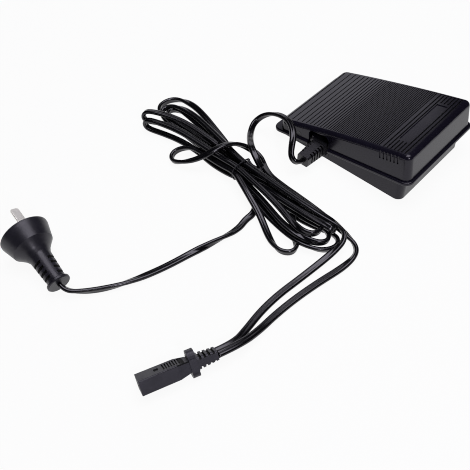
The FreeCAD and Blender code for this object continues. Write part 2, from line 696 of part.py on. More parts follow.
choke_z = seat + 7.2
choke_core = Part.makeTorus(5.2, 1.9, V(69, 8, choke_z), X_AXIS)
choke_core = choke_core.fuse(box(67.2, 70.8, 5.0, 11.0, seat, seat + 1.0)).removeSplitter()
wraps = []
for k in range(10):
    a = math.radians(-20 + 22 * k)
    c = V(69, 8 + 5.2 * math.cos(a), choke_z + 5.2 * math.sin(a))
    wraps.append(Part.makeTorus(2.3, 0.35, c, V(0, -math.sin(a), math.cos(a))))
choke_winding = Part.makeCompound(wraps)
resist = []
for i, y in enumerate((-3.0, 14.5, 19.0)):
    x = 56.0 if i == 1 else 60.5
    body_r = rod(V(x, y, seat + 2.2), X_AXIS, 1.3, 7.0)
    wire_r = rod(V(x - 2, y, seat + 2.2), X_AXIS, 0.35, 11.0)
    pins_r = [rod(V(x - 1.7, y, seat), Z_AXIS, 0.35, 2.3), rod(V(x + 8.7, y, seat), Z_AXIS, 0.35, 2.3)]
    resist.append(fuse([body_r, wire_r] + pins_r))
resistors = Part.makeCompound(resist)

# Slide potentiometer and the wiper that the treadle pushes down
slider_body = box(SLIDER_X - 6, SLIDER_X + 6, SLIDER_Y - 4, SLIDER_Y + 4, FLOOR_TOP + 0.02, SLIDER_TOP)
slider_slot = box(SLIDER_X - 2.15, SLIDER_X + 2.15, SLIDER_Y - 1.15, SLIDER_Y + 1.15, 3.1, SLIDER_TOP + 1)
slider_lugs = [
    box(SLIDER_X - 5 + 4 * i, SLIDER_X - 4 + 4 * i, SLIDER_Y - 6, SLIDER_Y - 3.9, 5.0, 5.6)
    for i in range(3)
]
slide_potentiometer = fuse([slider_body.cut(slider_slot)] + slider_lugs)
stem = box(SLIDER_X - 2, SLIDER_X + 2, SLIDER_Y - 1, SLIDER_Y + 1, WIPER_BOTTOM, WIPER_TOP - 1.5)
cap_top = box(SLIDER_X - 4, SLIDER_X + 4, SLIDER_Y - 3, SLIDER_Y + 3, WIPER_TOP - 1.6, WIPER_TOP)
wiper = fuse([stem, cap_top])


def straight_and_arcs(points, tube, label):
    """Path of straight runs joined by tangent arcs."""
    pts = [V(*p) for p in points]
    edges = []
    last = pts[0]
    tight = 1e9
    for i in range(1, len(pts) - 1):
        a = pts[i - 1] - pts[i]
        b = pts[i + 1] - pts[i]
        run = min(a.Length, b.Length)
        a.normalize()
        b.normalize()
        half = (math.pi - a.getAngle(b)) / 2
        if half < 0.004:
            continue
        radius = 0.45 * run / math.tan(half)
        tight = min(tight, radius)
        reach = 0.45 * run
        p0 = pts[i] + a * reach
        p1 = pts[i] + b * reach
        inward = a + b
        inward.normalize()
        mid = pts[i] + inward * (radius / math.cos(half) - radius)
        if (p0 - last).Length > 1e-6:
            edges.append(Part.LineSegment(last, p0).toShape())
        edges.append(Part.Arc(p0, mid, p1).toShape())
        last = p1
    edges.append(Part.LineSegment(last, pts[-1]).toShape())
    wire = Part.Wire(edges)
    start = pts[1] - pts[0]
    ring = Part.Wire(Part.makeCircle(tube / 2, pts[0], start))
    solid = wire.makePipeShell([ring], True, False)
    if label:
        want = math.pi * tube * tube / 4 * wire.Length
        print(label, "length", round(wire.Length, 1), "least radius", round(tight, 1),
              "volume ratio", round(solid.Volume / want, 3))
    return solid


# Wires inside the tray
lead_y = inner_y1 + 0.05
lead_routes = [
    [(BOOT_X - 1.4, lead_y, BOOT_Z), (BOOT_X - 1.4, lead_y + 3.45, BOOT_Z),
     (hole_places[0] - 8, block_y0 - 3.0, BOOT_Z + 3.0),
     (hole_places[0] - 1, block_y0 - 5.2, BLOCK_HOLE_Z + 0.6),
     (hole_places[0], block_y0 - 2.6, BLOCK_HOLE_Z), (hole_places[0], block_y0 - 0.05, BLOCK_HOLE_Z)],
    [(BOOT_X + 1.4, lead_y, BOOT_Z), (BOOT_X + 1.4, lead_y + 1.85, BOOT_Z),
     (hole_places[1] - 10, block_y0 - 3.5, BOOT_Z + 0.1),
     (hole_places[1] - 1, block_y0 - 5.4, BLOCK_HOLE_Z - 0.5),
     (hole_places[1], block_y0 - 2.6, BLOCK_HOLE_Z), (hole_places[1], block_y0 - 0.05, BLOCK_HOLE_Z)],
]
lead_wires = Part.makeCompound([straight_and_arcs(r, 1.3, "") for r in lead_routes])
pot_routes = []
for i in range(3):
    x = SLIDER_X - 4.5 + 4 * i
    pot_routes.append([
        (x, SLIDER_Y - 6.05, 5.3), (x, SLIDER_Y - 8.5, 5.6), (x - 0.8, 24.6, 10.2),
        (x - 2.6, 21.5, 11.9), (x - 3.2, 17.6 - i, 10.9), (x - 3.2, 17.4 - i, seat),
    ])
pot_wires = Part.makeCompound([straight_and_arcs(r, 1.1, "") for r in pot_routes])

# Return spring
spring_z0 = FLOOR_TOP + SPRING_WIRE + 0.05
spring_z1 = SPRING_SEAT - SPRING_WIRE - 0.05
spring_pitch = (spring_z1 - spring_z0) / SPRING_TURNS
spring_edges = []
for k in range(2 * SPRING_TURNS):
    half_turn = Part.makeHelix(spring_pitch, spring_pitch / 2, SPRING_MEAN)
    half_turn.rotate(V(0, 0, 0), Z_AXIS, 180 * k)
    half_turn.translate(V(SPRING_X, 0, spring_z0 + spring_pitch / 2 * k))
    spring_edges += half_turn.Edges
wire_ring = Part.Wire(Part.makeCircle(SPRING_WIRE, V(SPRING_X + SPRING_MEAN, 0, spring_z0), Y_AXIS))
return_spring = Part.Wire(spring_edges).makePipeShell([wire_ring], True, True)

# Mains plug: lies on its rim and on the end of its boot
PLUG_AT = V(-115.0, -266.3, 18.42)
PLUG_AXIS = V(0.9665, -0.1528, -0.2062)
PLUG_AXIS.normalize()
PLUG_RIM = 18.3
PLUG_SEAM = 15.2
PLUG_NECK = 8.1
PLUG_BOOT = 6.85
PLUG_DISC = 8.6
PLUG_SKIRT = 13.7
PLUG_CONE = 9.8
PLUG_BOOT_LENGTH = 22.6
PLUG_DISC_LENGTH = 2.6
plug_end = PLUG_SKIRT + PLUG_CONE + PLUG_BOOT_LENGTH + PLUG_DISC_LENGTH
FACE_DEPTH = 3.0


def along(origin, axis, right, up, a, b, c):
    return origin + axis * a + right * b + up * c


plug_right = Z_AXIS.cross(PLUG_AXIS)
plug_right.normalize()
plug_up = PLUG_AXIS.cross(plug_right)
plug_profile = [
    (0.0, 0.0), (0.0, PLUG_RIM - 0.8), (0.8, PLUG_RIM), (2.4, PLUG_RIM), (PLUG_SKIRT, PLUG_SEAM),
    (PLUG_SKIRT + 2.6, PLUG_SEAM - 2.4), (PLUG_SKIRT + 6.0, PLUG_SEAM - 5.2),
    (PLUG_SKIRT + PLUG_CONE, PLUG_NECK),
    (plug_end - PLUG_DISC_LENGTH, PLUG_BOOT), (plug_end - PLUG_DISC_LENGTH, PLUG_DISC - 0.6),
    (plug_end - PLUG_DISC_LENGTH + 0.6, PLUG_DISC), (plug_end - 0.6, PLUG_DISC),
    (plug_end, PLUG_DISC - 0.6), (plug_end, 0.0),
]


def plug_place(shape):
    """Moves a shape drawn along X from the plug face to its place."""
    m = FreeCAD.Matrix(
        PLUG_AXIS.x, plug_right.x, plug_up.x, PLUG_AT.x,
        PLUG_AXIS.y, plug_right.y, plug_up.y, PLUG_AT.y,
        PLUG_AXIS.z, plug_right.z, plug_up.z, PLUG_AT.z,
        0, 0, 0, 1,
    )
    out = shape.copy()
    out.transformShape(m, True, False)
    return out


def turned(points):
    wire = Part.makePolygon([V(a, r, 0) for a, r in points] + [V(points[0][0], points[0][1], 0)])
    return Part.Face(wire).revolve(V(0, 0, 0), X_AXIS, 360)


plug_solid = turned(plug_profile)
plug_solid = plug_solid.cut(rod(V(-1, 0, 0), X_AXIS, PLUG_RIM - 3.0, 1 + FACE_DEPTH + 0.05))
plug_slots = []
for i in range(4):
    a = PLUG_SKIRT + PLUG_CONE + 5.0 + 4.3 * i
    for side in (-1, 1):
        y_a, y_b = sorted((side * 2.9, side * 14))
        plug_slots.append(box(a, a + 2.0, y_a, y_b, -12, 12))
plug_solid = plug_solid.cut(plug_slots)


def rolled(shape, degrees):
    out = shape.copy()
    out.rotate(V(0, 0, 0), X_AXIS, degrees)
    return out


plug_body = plug_place(plug_solid)
face = rod(V(0.4, 0, 0), X_AXIS, PLUG_RIM - 3.1, FACE_DEPTH - 0.4)
blades = []
BLADE_LENGTH = 17.0
BLADE_CORNER = 1.8
BLADE_OFFSET = 7.92
PLUG_ROLL = -80.0
for side in (-1, 1):
    blade = box(-BLADE_LENGTH, 0.35, -3.15, 3.15, BLADE_OFFSET - 0.8, BLADE_OFFSET + 0.8)
    blade = fillet_where(
        blade, BLADE_CORNER, lambda e: e.BoundBox.XMax < -BLADE_LENGTH + 0.01 and e.BoundBox.YLength < 0.01
    )
    blade = fillet_where(
        blade, 0.5, lambda e: e.BoundBox.XMax < -BLADE_LENGTH + BLADE_CORNER + 0.01 and e.BoundBox.YLength > 1.0
    )
    blades.append(rolled(blade, PLUG_ROLL + side * 60))
plug_face = plug_place(face)
plug_blades = Part.makeCompound([plug_place(b) for b in blades])

# Machine connector: body, finger flange, slotted boot, rolled onto one corner
CONN_AT = V(28.8, -288.6, 8.15)
CONN_AXIS = V(0.3886, 0.9213, 0.0135)
CONN_AXIS.normalize()
CONN_ROLL = 38.9
CONN_LENGTH = 33.6
CONN_W = 13.8
CONN_H = 10.4
CONN_PLATE = 5.0
CONN_LOBE = 9.35
CONN_BOOT = 13.9
CONN_SLOT_PITCH = 3.05
conn_level = CONN_AXIS.cross(Z_AXIS)
conn_level.normalize()
conn_rise = conn_level.cross(CONN_AXIS)
roll_c = math.cos(math.radians(CONN_ROLL))
roll_s = math.sin(math.radians(CONN_ROLL))
conn_w = conn_level * roll_c + conn_rise * roll_s
conn_u = conn_rise * roll_c - conn_level * roll_s


def conn_place(shape):
    """Moves a shape drawn along X from the connector front to its place."""
    m = FreeCAD.Matrix(
        CONN_AXIS.x, -conn_w.x, conn_u.x, CONN_AT.x,
        CONN_AXIS.y, -conn_w.y, conn_u.y, CONN_AT.y,
        CONN_AXIS.z, -conn_w.z, conn_u.z, CONN_AT.z,
        0, 0, 0, 1,
    )
    out = shape.copy()
    out.transformShape(m, True, False)
    return out


def section_x(a, half_y, half_z, corner):
    wire = outline(-half_z, half_z, half_y, corner, 0)
    wire.rotate(V(0, 0, 0), Y_AXIS, 90)
    wire.translate(V(a, 0, 0))
    return wire


conn_front = Part.makeLoft([
    section_x(0, CONN_W / 2, CONN_H / 2, 0.8), section_x(
        CONN_LENGTH * 0.76, CONN_W / 2 - 0.2, CONN_H / 2 - 0.1, 0.8
    )
], True, True)
conn_rear = Part.makeLoft([
    section_x(CONN_LENGTH * 0.76 - 0.01, CONN_W / 2 - 0.2, CONN_H / 2 - 0.1, 0.8),
    section_x(CONN_LENGTH + 0.3, CONN_W / 2 - 1.8, CONN_H / 2 - 1.2, 0.8),
], True, True)
conn_plate = box(CONN_LENGTH, CONN_LENGTH + CONN_PLATE, -4.2, 4.2, -CONN_LOBE, CONN_LOBE)
conn_plate = fillet_where(conn_plate, 3.1, lambda e: abs(e.BoundBox.XLength - CONN_PLATE) < 0.01)
conn_plate = conn_plate.fuse(box(CONN_LENGTH, CONN_LENGTH + CONN_PLATE, -5.6, 5.6, -4.6, 4.6))
boot_from = CONN_LENGTH + CONN_PLATE
conn_boot = Part.makeLoft([
    section_x(boot_from - 0.1, 5.2, 4.6, 1.8), section_x(boot_from + CONN_BOOT, 5.2, 3.4, 1.8)
], True, True)
conn_slots = []
for i in range(4):
    a = boot_from + 1.7 + CONN_SLOT_PITCH * i
    for side in (-1, 1):
        z_a, z_b = sorted((side * 2.4, side * 9))
        conn_slots.append(box(a, a + 1.5, -9, 9, z_a, z_b))
conn_boot = conn_boot.cut(conn_slots)
connector_solid = conn_front.fuse([conn_rear, conn_plate, conn_boot]).removeSplitter()
sockets = []
SOCKET_PITCH = 5.4
SOCKET_BORE = 1.3
SOCKET_DEPTH = 14.0
for side in (-1, 1):
    sockets.append(rod(V(-1, side * SOCKET_PITCH / 2, 0), X_AXIS, SOCKET_BORE + 0.45, SOCKET_DEPTH + 1))
dimple = box(11.5, 14.5, -1.9, 1.9, CONN_H / 2 - 0.5, CONN_H)
GRIP_RIB_HALF = CONN_W / 2 - 2.4
grip_ribs = [
    box(17.2 + 1.7 * i, 18.1 + 1.7 * i, -GRIP_RIB_HALF, GRIP_RIB_HALF, CONN_H / 2 - 0.75, CONN_H) for i in range(8)
]
connector_solid = connector_solid.cut(sockets + [dimple] + grip_ribs)
connector_body = conn_place(connector_solid)
contact_tubes = []
for side in (-1, 1):
    tube = rod(V(0.6, side * SOCKET_PITCH / 2, 0), X_AXIS, SOCKET_BORE + 0.4, SOCKET_DEPTH - 0.7)
    tube = tube.cut(rod(V(0, side * SOCKET_PITCH / 2, 0), X_AXIS, SOCKET_BORE, SOCKET_DEPTH - 1.5))
    contact_tubes.append(tube)
connector_contacts = conn_place(Part.makeCompound(contact_tubes))

# Hank: both cords wound together in four layers and drawn in at the tie
STEP = 5.3
LAYER_RISE = 4.95
TIE_X = -50.0
TIE_Y = -106.5
WAIST = 1.75 * STEP
RIGHT_X = 44.0
RIGHT_Y = -112.0
RIGHT_R = 13.0
LEFT_X = -154.0
LEFT_Y = -96.0
LEFT_R = 17.5
LAYER_Z = [3.9 + LAYER_RISE * k for k in range(4)]
LEFT_LEAN = 12.0
HALF_TURNS = 3.0


def arc_edge(p, t, q):
    """Arc that leaves p along t and ends at q, or a line when they are in line."""
    chord = q - p
    length = chord.Length
    unit = V(chord)
    unit.normalize()
    side = t - unit * t.dot(unit)
    if side.Length < 1e-5:
        return Part.LineSegment(p, q).toShape()
    angle = math.atan2(side.Length, t.dot(unit))
    side.normalize()
    mid = p + chord * 0.5 + side * (length / 2 * math.tan(angle / 2))
    return Part.Arc(p, mid, q).toShape()


def biarc(p, tp, q, tq):
    v = q - p
    t = tp + tq
    a = 2 * (1 - tp.dot(tq))
    vt = v.dot(t)
    if abs(a) < 1e-9:
        d = v.dot(v) / (2 * vt)
    else:
        d = (-vt + math.sqrt(vt * vt + a * v.dot(v))) / a
    m = (p + q + (tp - tq) * d) * 0.5
    back = arc_edge(q, tq * -1, m)
    return [arc_edge(p, tp, m), back]


def hank_point(place, inset, z):
    """Point and direction of a strand at a named place of the hank."""
    if place == "waist_up":
        return V(TIE_X, TIE_Y + WAIST - inset, z), V(1, 0, 0)
    if place == "right_up":
        return V(RIGHT_X - RIGHT_R, RIGHT_Y + RIGHT_R - inset, z), V(1, 0, 0)
    if place == "right_end":
        return V(RIGHT_X - inset, RIGHT_Y, z), V(0, -1, 0)
    if place == "right_low":
        return V(RIGHT_X - RIGHT_R, RIGHT_Y - RIGHT_R + inset, z), V(-1, 0, 0)
    if place == "waist_low":
        return V(TIE_X, TIE_Y - WAIST + inset, z), V(-1, 0, 0)
    if place == "left_low":
        return V(LEFT_X + LEFT_R, LEFT_Y - LEFT_R + inset, z), V(-1, 0, 0)
    if place == "left_end":
        return V(LEFT_X + inset, LEFT_Y, z), V(0, 1, 0)
    lean = math.radians(LEFT_LEAN)
    r = LEFT_R - inset
    return V(LEFT_X + LEFT_R + r * math.sin(lean), LEFT_Y + r * math.cos(lean), z), V(
        math.cos(lean), -math.sin(lean), 0
    )


ROUND = ["waist_up", "right_up", "right_end", "right_low", "waist_low", "left_low", "left_end", "left_up"]
SHARE = {"waist_up": 0.0, "right_up": 0.15, "right_end": 0.25, "right_low": 0.35,
         "waist_low": 0.5, "left_low": 0.65, "left_end": 0.75, "left_up": 0.85}


def hank_marks(begin, start_at, layer_from, layer_to, finish, exit_x):
    """Spirals in on one layer, changes layer on the waist run, spirals out on the next."""
    offset = SHARE[begin]
    marks = [start_at]
    turn = 0.0
    k = ROUND.index(begin)
    while True:
        k += 1
        place = ROUND[k % 8]
        turn = (SHARE[place] - offset) % 1.0 + math.floor((k - ROUND.index(begin)) / 8)
        inset = STEP * turn if turn <= 1.5 else STEP * (HALF_TURNS - turn)
        if turn < 1.5 - 0.01:
            z = LAYER_Z[layer_from]
        elif turn > 1.5 + 0.01:
            z = LAYER_Z[layer_to]
        else:
            z = (LAYER_Z[layer_from] + LAYER_Z[layer_to]) / 2
        p, t = hank_point(place, inset, z)
        if abs(turn - 1.5) < 0.01:
            climb = LAYER_Z[layer_to] - LAYER_Z[layer_from]
            t = V(t.x, t.y, climb / 95.0)
            t.normalize()
        if turn > finish - 0.01:
            marks.append((V(exit_x, p.y, z), V(1, 0, 0)))
            break
        marks.append((p, t))
    return marks


def hank_edges(marks):
    edges = []
    for (p, tp), (q, tq) in zip(marks, marks[1:]):
        edges += biarc(p, tp, q, tq)
    return edges


def mark(at, towards):
    t = V(*towards)
    t.normalize()
    return V(*at), t


def tube_on(edges, diameter, start, direction, label):
    wire = Part.Wire(edges)
    ring = Part.Wire(Part.makeCircle(diameter / 2, start, direction))
    solid = wire.makePipeShell([ring], True, False)
    want = math.pi * diameter * diameter / 4 * wire.Length
    tight = min(e.Curve.Radius for e in edges if hasattr(e.Curve, "Radius"))
    print(label, "length", round(wire.Length, 1), "least radius", round(tight, 1),
          "volume ratio", round(solid.Volume / want, 3))
    return solid


def samples(edges, step=1.5):
    wire = Part.Wire(edges)
    count = int(wire.Length / step)
    return wire.discretize(count)


def self_gap(lists, diameter, skip):
    """Least gap between strands, leaving out neighbours along one strand."""
    least = 1e9
    flat = []
    for n, pts in enumerate(lists):
        for i, p in enumerate(pts):
            flat.append((n, i, p))
    cells = {}
    size = 8.0
    for item in flat:
        p = item[2]
        cells.setdefault((int(p.x // size), int(p.y // size), int(p.z // size)), []).append(item)
    for (cx, cy, cz), here in cells.items():
        near = []
        for dx in (-1, 0, 1):
            for dy in (-1, 0, 1):
                for dz in (-1, 0, 1):
                    near += cells.get((cx + dx, cy + dy, cz + dz), [])
        for n, i, p in here:
            for m, j, q in near:
                if n == m and abs(i - j) < skip:
                    continue
                gap = (p - q).Length
                if gap < least:
                    least = gap
    return least - diameter


mains_start = V(TIE_X + 2.0, TIE_Y - WAIST, LAYER_Z[0])
pedal_start = V(-26.0, TIE_Y + WAIST - 0.35, LAYER_Z[3])
mains_marks = hank_marks("waist_low", (mains_start, V(-1, 0, 0)), 0, 1, 2.65, 25.0)
pedal_marks = hank_marks("waist_up", (pedal_start, V(1, 0, 0)), 3, 2, 3.15, 25.0)
top_z = LAYER_Z[3]

# One turn of the top layer sags to the floor at the right end, and its left end is a
# small loose loop that curls over the bundle and comes back outside the tie
sagging_end = [
    mark((42.7, -112.0, top_z), (0.0, -1.0, -0.05)),
    mark((39.5, -126.5, 13.0), (-0.3, -0.85, -0.6)),
    mark((22.0, -141.0, 2.6), (-1.0, 0.12, 0.0)),
    mark((-13.0, -127.2, 12.5), (-0.9, 0.36, 0.33)),
    mark((-34.0, -117.8, 18.9), (-0.95, 0.3, 0.12)),
]
loose_loop = [
    mark((-84.0, -111.6, top_z + 0.2), (-1.0, 0.0, 0.0)),
    mark((-99.5, -113.8, top_z), (-0.86, -0.5, -0.08)),
    mark((-106.5, -123.5, 12.5), (-0.05, -1.0, -0.35)),
    mark((-96.0, -132.8, 8.0), (1.0, 0.0, 0.12)),
    mark((-86.6, -121.0, 16.5), (0.15, 1.0, 0.9)),
    mark((-84.3, -110.0, 24.4), (0.2, 1.0, 0.12)),
    mark((-80.5, -95.5, 21.2), (0.3, 1.0, -0.55)),
    mark((-69.0, -80.5, 6.2), (0.95, 0.5, -0.45)),
    mark((-54.0, -80.8, 4.4), (1.0, -0.3, 0.0)),
    mark((-37.5, -87.6, 4.6), (0.93, -0.36, 0.08)),
    mark((-21.5, -92.1, 8.6), (0.9, -0.12, 0.42)),
    mark((-6.0, -92.8, 17.0), (0.9, -0.02, 0.44)),
    mark((7.0, -95.6, 23.6), (0.9, -0.32, 0.16)),
    mark((18.0, -101.6, 23.8), (0.88, -0.4, -0.3)),
]
pedal_marks = pedal_marks[:2] + sagging_end + pedal_marks[4:5] + loose_loop + pedal_marks[9:]
mains_edges = hank_edges(mains_marks)
pedal_edges = hank_edges(pedal_marks)
mains_cord_hank = tube_on(mains_edges, CORD_TUBE, mains_start, V(-1, 0, 0), "mains hank")
pedal_cord_hank = tube_on(pedal_edges, CORD_TUBE, pedal_start, V(1, 0, 0), "pedal hank")
mains_exit = mains_marks[-1][0]
pedal_exit = pedal_marks[-1][0]
print("hank least gap", round(self_gap([samples(mains_edges), samples(pedal_edges)], CORD_TUBE, 9), 2))

# Free cord stretches
boot_tip = V(BOOT_X - ORIGIN_X, -BOOT_END, BOOT_Z)
pedal_route = [
    (boot_tip.x, boot_tip.y - 0.05, boot_tip.z), (boot_tip.x, -75.0, boot_tip.z),
    (-24.2, -81.2, 12.6), (-32.6, -81.2, 15.8),
    (-38.2, -74.6, 19.2), (-41.4, -65.4, 22.8), (-47.0, -56.6, 25.8),
    (-56.6, -50.6, 26.8), (-68.8, -48.9, 23.2),
    (-78.6, -54.0, 17.0), (-79.4, -64.8, 12.2), (-69.8, -73.6, 12.2),
    (-59.8, -81.8, 13.8), (-49.4, -89.6, 15.8),
    (-38.0, -95.9, 18.6), (pedal_start.x - 0.05, pedal_start.y, pedal_start.z),
]
plug_tip = PLUG_AT + PLUG_AXIS * (plug_end + 0.05)
plug_run = plug_tip + PLUG_AXIS * 7.0
mains_route = [
    (plug_tip.x, plug_tip.y, plug_tip.z), (plug_run.x, plug_run.y, plug_run.z), (-53.6, -271.0, 4.6),
    (-46.4, -262.6, 2.9), (-40.2, -249.6, 2.3), (-33.8, -232.0, 2.25),
    (-27.6, -210.5, 2.25), (-21.0, -186.0, 2.25),
    (-15.2, -164.0, 2.25),
    (-12.5, -145.0, 2.4), (-15.5, -132.0, 2.9), (-24.0, -122.0, 3.6), (-36.0, mains_start.y - 0.9, 3.9),
    (mains_start.x + 0.05, mains_start.y, mains_start.z),
]
conn_tip = CONN_AT + CONN_AXIS * (boot_from + CONN_BOOT + 0.05)
tail_a_end = conn_tip - conn_w * 2.6
tail_b_end = conn_tip + conn_w * 2.6
tail_a_run = tail_a_end + CONN_AXIS * 13.8
tail_b_run = tail_b_end + CONN_AXIS * 13.2
mains_tail_route = [
    (mains_exit.x + 0.05, mains_exit.y, mains_exit.z),
    (34.5, -100.8, 8.7), (44.6, -101.0, 5.9), (54.9, -107.2, 3.0),
    (57.4, -119.6, 2.25), (53.6, -137.0, 2.25), (49.5, -156.0, 2.25),
    (46.5, -174.0, 2.25), (47.0, -195.0, 2.25),
    (50.3, -212.0, 3.4), (tail_a_run.x, tail_a_run.y, tail_a_run.z),
    (tail_a_end.x, tail_a_end.y, tail_a_end.z),
]
pedal_tail_route = [
    (pedal_exit.x + 0.05, pedal_exit.y, pedal_exit.z),
    (36.0, -98.3, 13.4), (47.0, -99.0, 10.8), (58.0, -101.2, 6.6),
    (66.6, -108.2, 3.0), (69.0, -119.8, 2.25), (66.3, -135.0, 2.25),
    (62.0, -156.0, 2.25), (58.4, -180.0, 2.25),
    (57.4, -200.0, 3.2), (58.0, -215.0, 6.6), (tail_b_run.x + 0.3, tail_b_run.y, tail_b_run.z - 0.4),
    (tail_b_end.x, tail_b_end.y, tail_b_end.z),
]
pedal_cord = straight_and_arcs(pedal_route, CORD_TUBE, "pedal cord")
mains_cord = straight_and_arcs(mains_route, CORD_TUBE, "mains cord")
mains_cord_tail = straight_and_arcs(mains_tail_route, CORD_TUBE, "mains tail")
pedal_cord_tail = straight_and_arcs(pedal_tail_route, CORD_TUBE, "pedal tail")

# Wire tie round the waist of the hank, ends twisted off to one side
TIE_WIRE = 1.1
tie_half = WAIST + CORD_TUBE / 2 + TIE_WIRE / 2 + 0.3
tie_low = LAYER_Z[0] - CORD_TUBE / 2 - TIE_WIRE / 2 - 0.3
tie_high = LAYER_Z[3] + CORD_TUBE / 2 + TIE_WIRE / 2 + 0.3
tie_mid = (tie_low + tie_high) / 2
tie_ring = outline(-(tie_high - tie_low) / 2, (tie_high - tie_low) / 2, tie_half, 4.0, 0)
tie_ring.rotate(V(0, 0, 0), Y_AXIS, 90)
tie_ring.translate(V(TIE_X, TIE_Y, tie_mid))
start_edge = tie_ring.Edges[1]
ring_at = start_edge.valueAt(start_edge.FirstParameter)
ring_dir = start_edge.tangentAt(start_edge.FirstParameter)
order = Part.Wire(Part.__sortEdges__(tie_ring.Edges[1:] + tie_ring.Edges[:1]))
tie_band = order.makePipeShell([Part.Wire(Part.makeCircle(TIE_WIRE / 2, ring_at, ring_dir))], True, False)
twist = []
twist_at = V(TIE_X, TIE_Y - 5.0, tie_high + 0.15)
for phase in (0, 180):
    coil = Part.makeHelix(3.6, 10.8, 0.58)
    coil.rotate(V(0, 0, 0), Z_AXIS, phase)
    coil.rotate(V(0, 0, 0), X_AXIS, 68)
    coil.rotate(V(0, 0, 0), Z_AXIS, 35)
    coil.translate(twist_at)
    edge = coil.Edges[0]
    ring = Part.Wire(Part.makeCircle(TIE_WIRE / 2 - 0.02, edge.valueAt(edge.FirstParameter),
                                     edge.tangentAt(edge.FirstParameter)))
    twist.append(Part.Wire(coil.Edges).makePipeShell([ring], True, True))
cord_tie = Part.makeCompound([tie_band.fuse(twist)])

pedal_nodes = {
    "treadle_cover": treadle_cover,
    "base_tray": base_tray,
    "hinge_pins": hinge_pins,
    "pin_clips": pin_clips,
    "return_spring": return_spring,
    "stop_bumpers": stop_bumpers,
    "rubber_feet": rubber_feet,
    "cord_boot": cord_boot,
    "cord_clamp": cord_clamp,
    "cord_clamp_screws": cord_clamp_screws,
    "cord_inner_end": cord_inner_end,
    "lead_wires": lead_wires,
    "circuit_board": circuit_board,
    "board_screws": board_screws,
    "insulation_sheet": insulation_sheet,
    "terminal_block": terminal_block,
    "triac": triac,
    "heat_sink": heat_sink,
    "suppression_capacitor": suppression_capacitor,
    "timing_capacitor": timing_capacitor,
    "choke_core": choke_core,
    "choke_winding": choke_winding,
    "resistors": resistors,
    "slide_potentiometer": slide_potentiometer,
    "wiper": wiper,
    "pot_wires": pot_wires,
}
cord_side_nodes = {
    "pedal_cord": pedal_cord,
    "pedal_cord_hank": pedal_cord_hank,
    "pedal_cord_tail": pedal_cord_tail,
    "mains_cord": mains_cord,
    "mains_cord_hank": mains_cord_hank,
    "mains_cord_tail": mains_cord_tail,
    "cord_tie": cord_tie,
    "plug_body": plug_body,
    "plug_face": plug_face,
    "plug_blades": plug_blades,
    "connector_body": connector_body,
    "connector_contacts": connector_contacts,
}
os.makedirs("parts", exist_ok=True)
for name, shape in pedal_nodes.items():
    placed = shape.copy()
    placed.translate(V(-ORIGIN_X, 0, 0))
    placed.exportStep("parts/" + name + ".step")
    b = placed.BoundBox
    print(name, len(placed.Solids), "solids", "valid", placed.isValid(), "volume", round(placed.Volume, 1),
          [round(v, 1) for v in (b.XMin, b.XMax, b.YMin, b.YMax, b.ZMin, b.ZMax)])
for name, shape in cord_side_nodes.items():
    shape.exportStep("parts/" + name + ".step")
    b = shape.BoundBox
    print(name, len(shape.Solids), "solids", "valid", shape.isValid(), "volume", round(shape.Volume, 1),
          [round(v, 1) for v in (b.XMin, b.XMax, b.YMin, b.YMax, b.ZMin, b.ZMax)])
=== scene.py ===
import math

import bmesh
import bpy
import numpy as np
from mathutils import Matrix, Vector


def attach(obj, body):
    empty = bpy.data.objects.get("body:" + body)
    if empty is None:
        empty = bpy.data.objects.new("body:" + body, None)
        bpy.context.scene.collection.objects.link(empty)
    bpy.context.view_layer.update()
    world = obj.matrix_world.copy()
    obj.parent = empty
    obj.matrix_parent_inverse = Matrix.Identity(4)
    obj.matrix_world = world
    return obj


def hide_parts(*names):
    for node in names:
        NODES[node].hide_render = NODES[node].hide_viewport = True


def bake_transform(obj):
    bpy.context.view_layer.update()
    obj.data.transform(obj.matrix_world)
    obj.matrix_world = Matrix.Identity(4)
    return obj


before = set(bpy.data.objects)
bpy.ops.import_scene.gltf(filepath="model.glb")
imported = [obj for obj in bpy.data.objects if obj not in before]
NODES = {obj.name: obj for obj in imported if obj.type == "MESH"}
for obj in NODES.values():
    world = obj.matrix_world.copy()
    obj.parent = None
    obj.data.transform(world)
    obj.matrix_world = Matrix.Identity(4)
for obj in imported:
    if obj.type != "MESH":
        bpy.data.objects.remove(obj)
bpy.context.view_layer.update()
MM = 0.001
scene = bpy.context.scene


# Camera at the photograph's viewing angle, for a square frame
camera_data = bpy.data.cameras.new("camera")
camera_data.lens = 50.69
camera_data.sensor_width = 36.0
camera_data.clip_start = 0.01
camera = bpy.data.objects.new("camera", camera_data)
scene.collection.objects.link(camera)
camera.location = (0.1994, -0.38734, 0.3831)
camera.rotation_euler = (math.radians(39.41), 0.0, math.radians(42.31))
scene.camera = camera
scene.view_settings.view_transform = "Standard"
# Narrow enough for the fine grooves, which are little more than two pixels apart
scene.cycles.filter_width = 1.0


def linear(code):
    """sRGB hex to a linear colour."""
    values = [int(code[i:i + 2], 16) / 255 for i in (1, 3, 5)]
    return tuple(c / 12.92 if c <= 0.04045 else ((c + 0.055) / 1.055) ** 2.4 for c in values) + (1.0,)


def add(tree, kind, settings=None, links=None):
    """Add one node: settings are attributes or input values, links go to its inputs."""
    node = tree.nodes.new(kind)
    for key, value in (settings or {}).items():
        if isinstance(key, int) or key in node.inputs:
            node.inputs[key].default_value = value
        else:
            setattr(node, key, value)
    for key, source in (links or {}).items():
        tree.links.new(source, node.inputs[key])
    return node


def ramp(tree, source, stops):
    """A colour that runs through the stops as the source goes from 0 to 1."""
    node = add(tree, "ShaderNodeValToRGB", None, {"Fac": source})
    while len(node.color_ramp.elements) < len(stops):
        node.color_ramp.elements.new(0.5)
    for element, (at, colour) in zip(node.color_ramp.elements, stops):
        element.position = at
        element.color = colour
    return node.outputs["Color"]


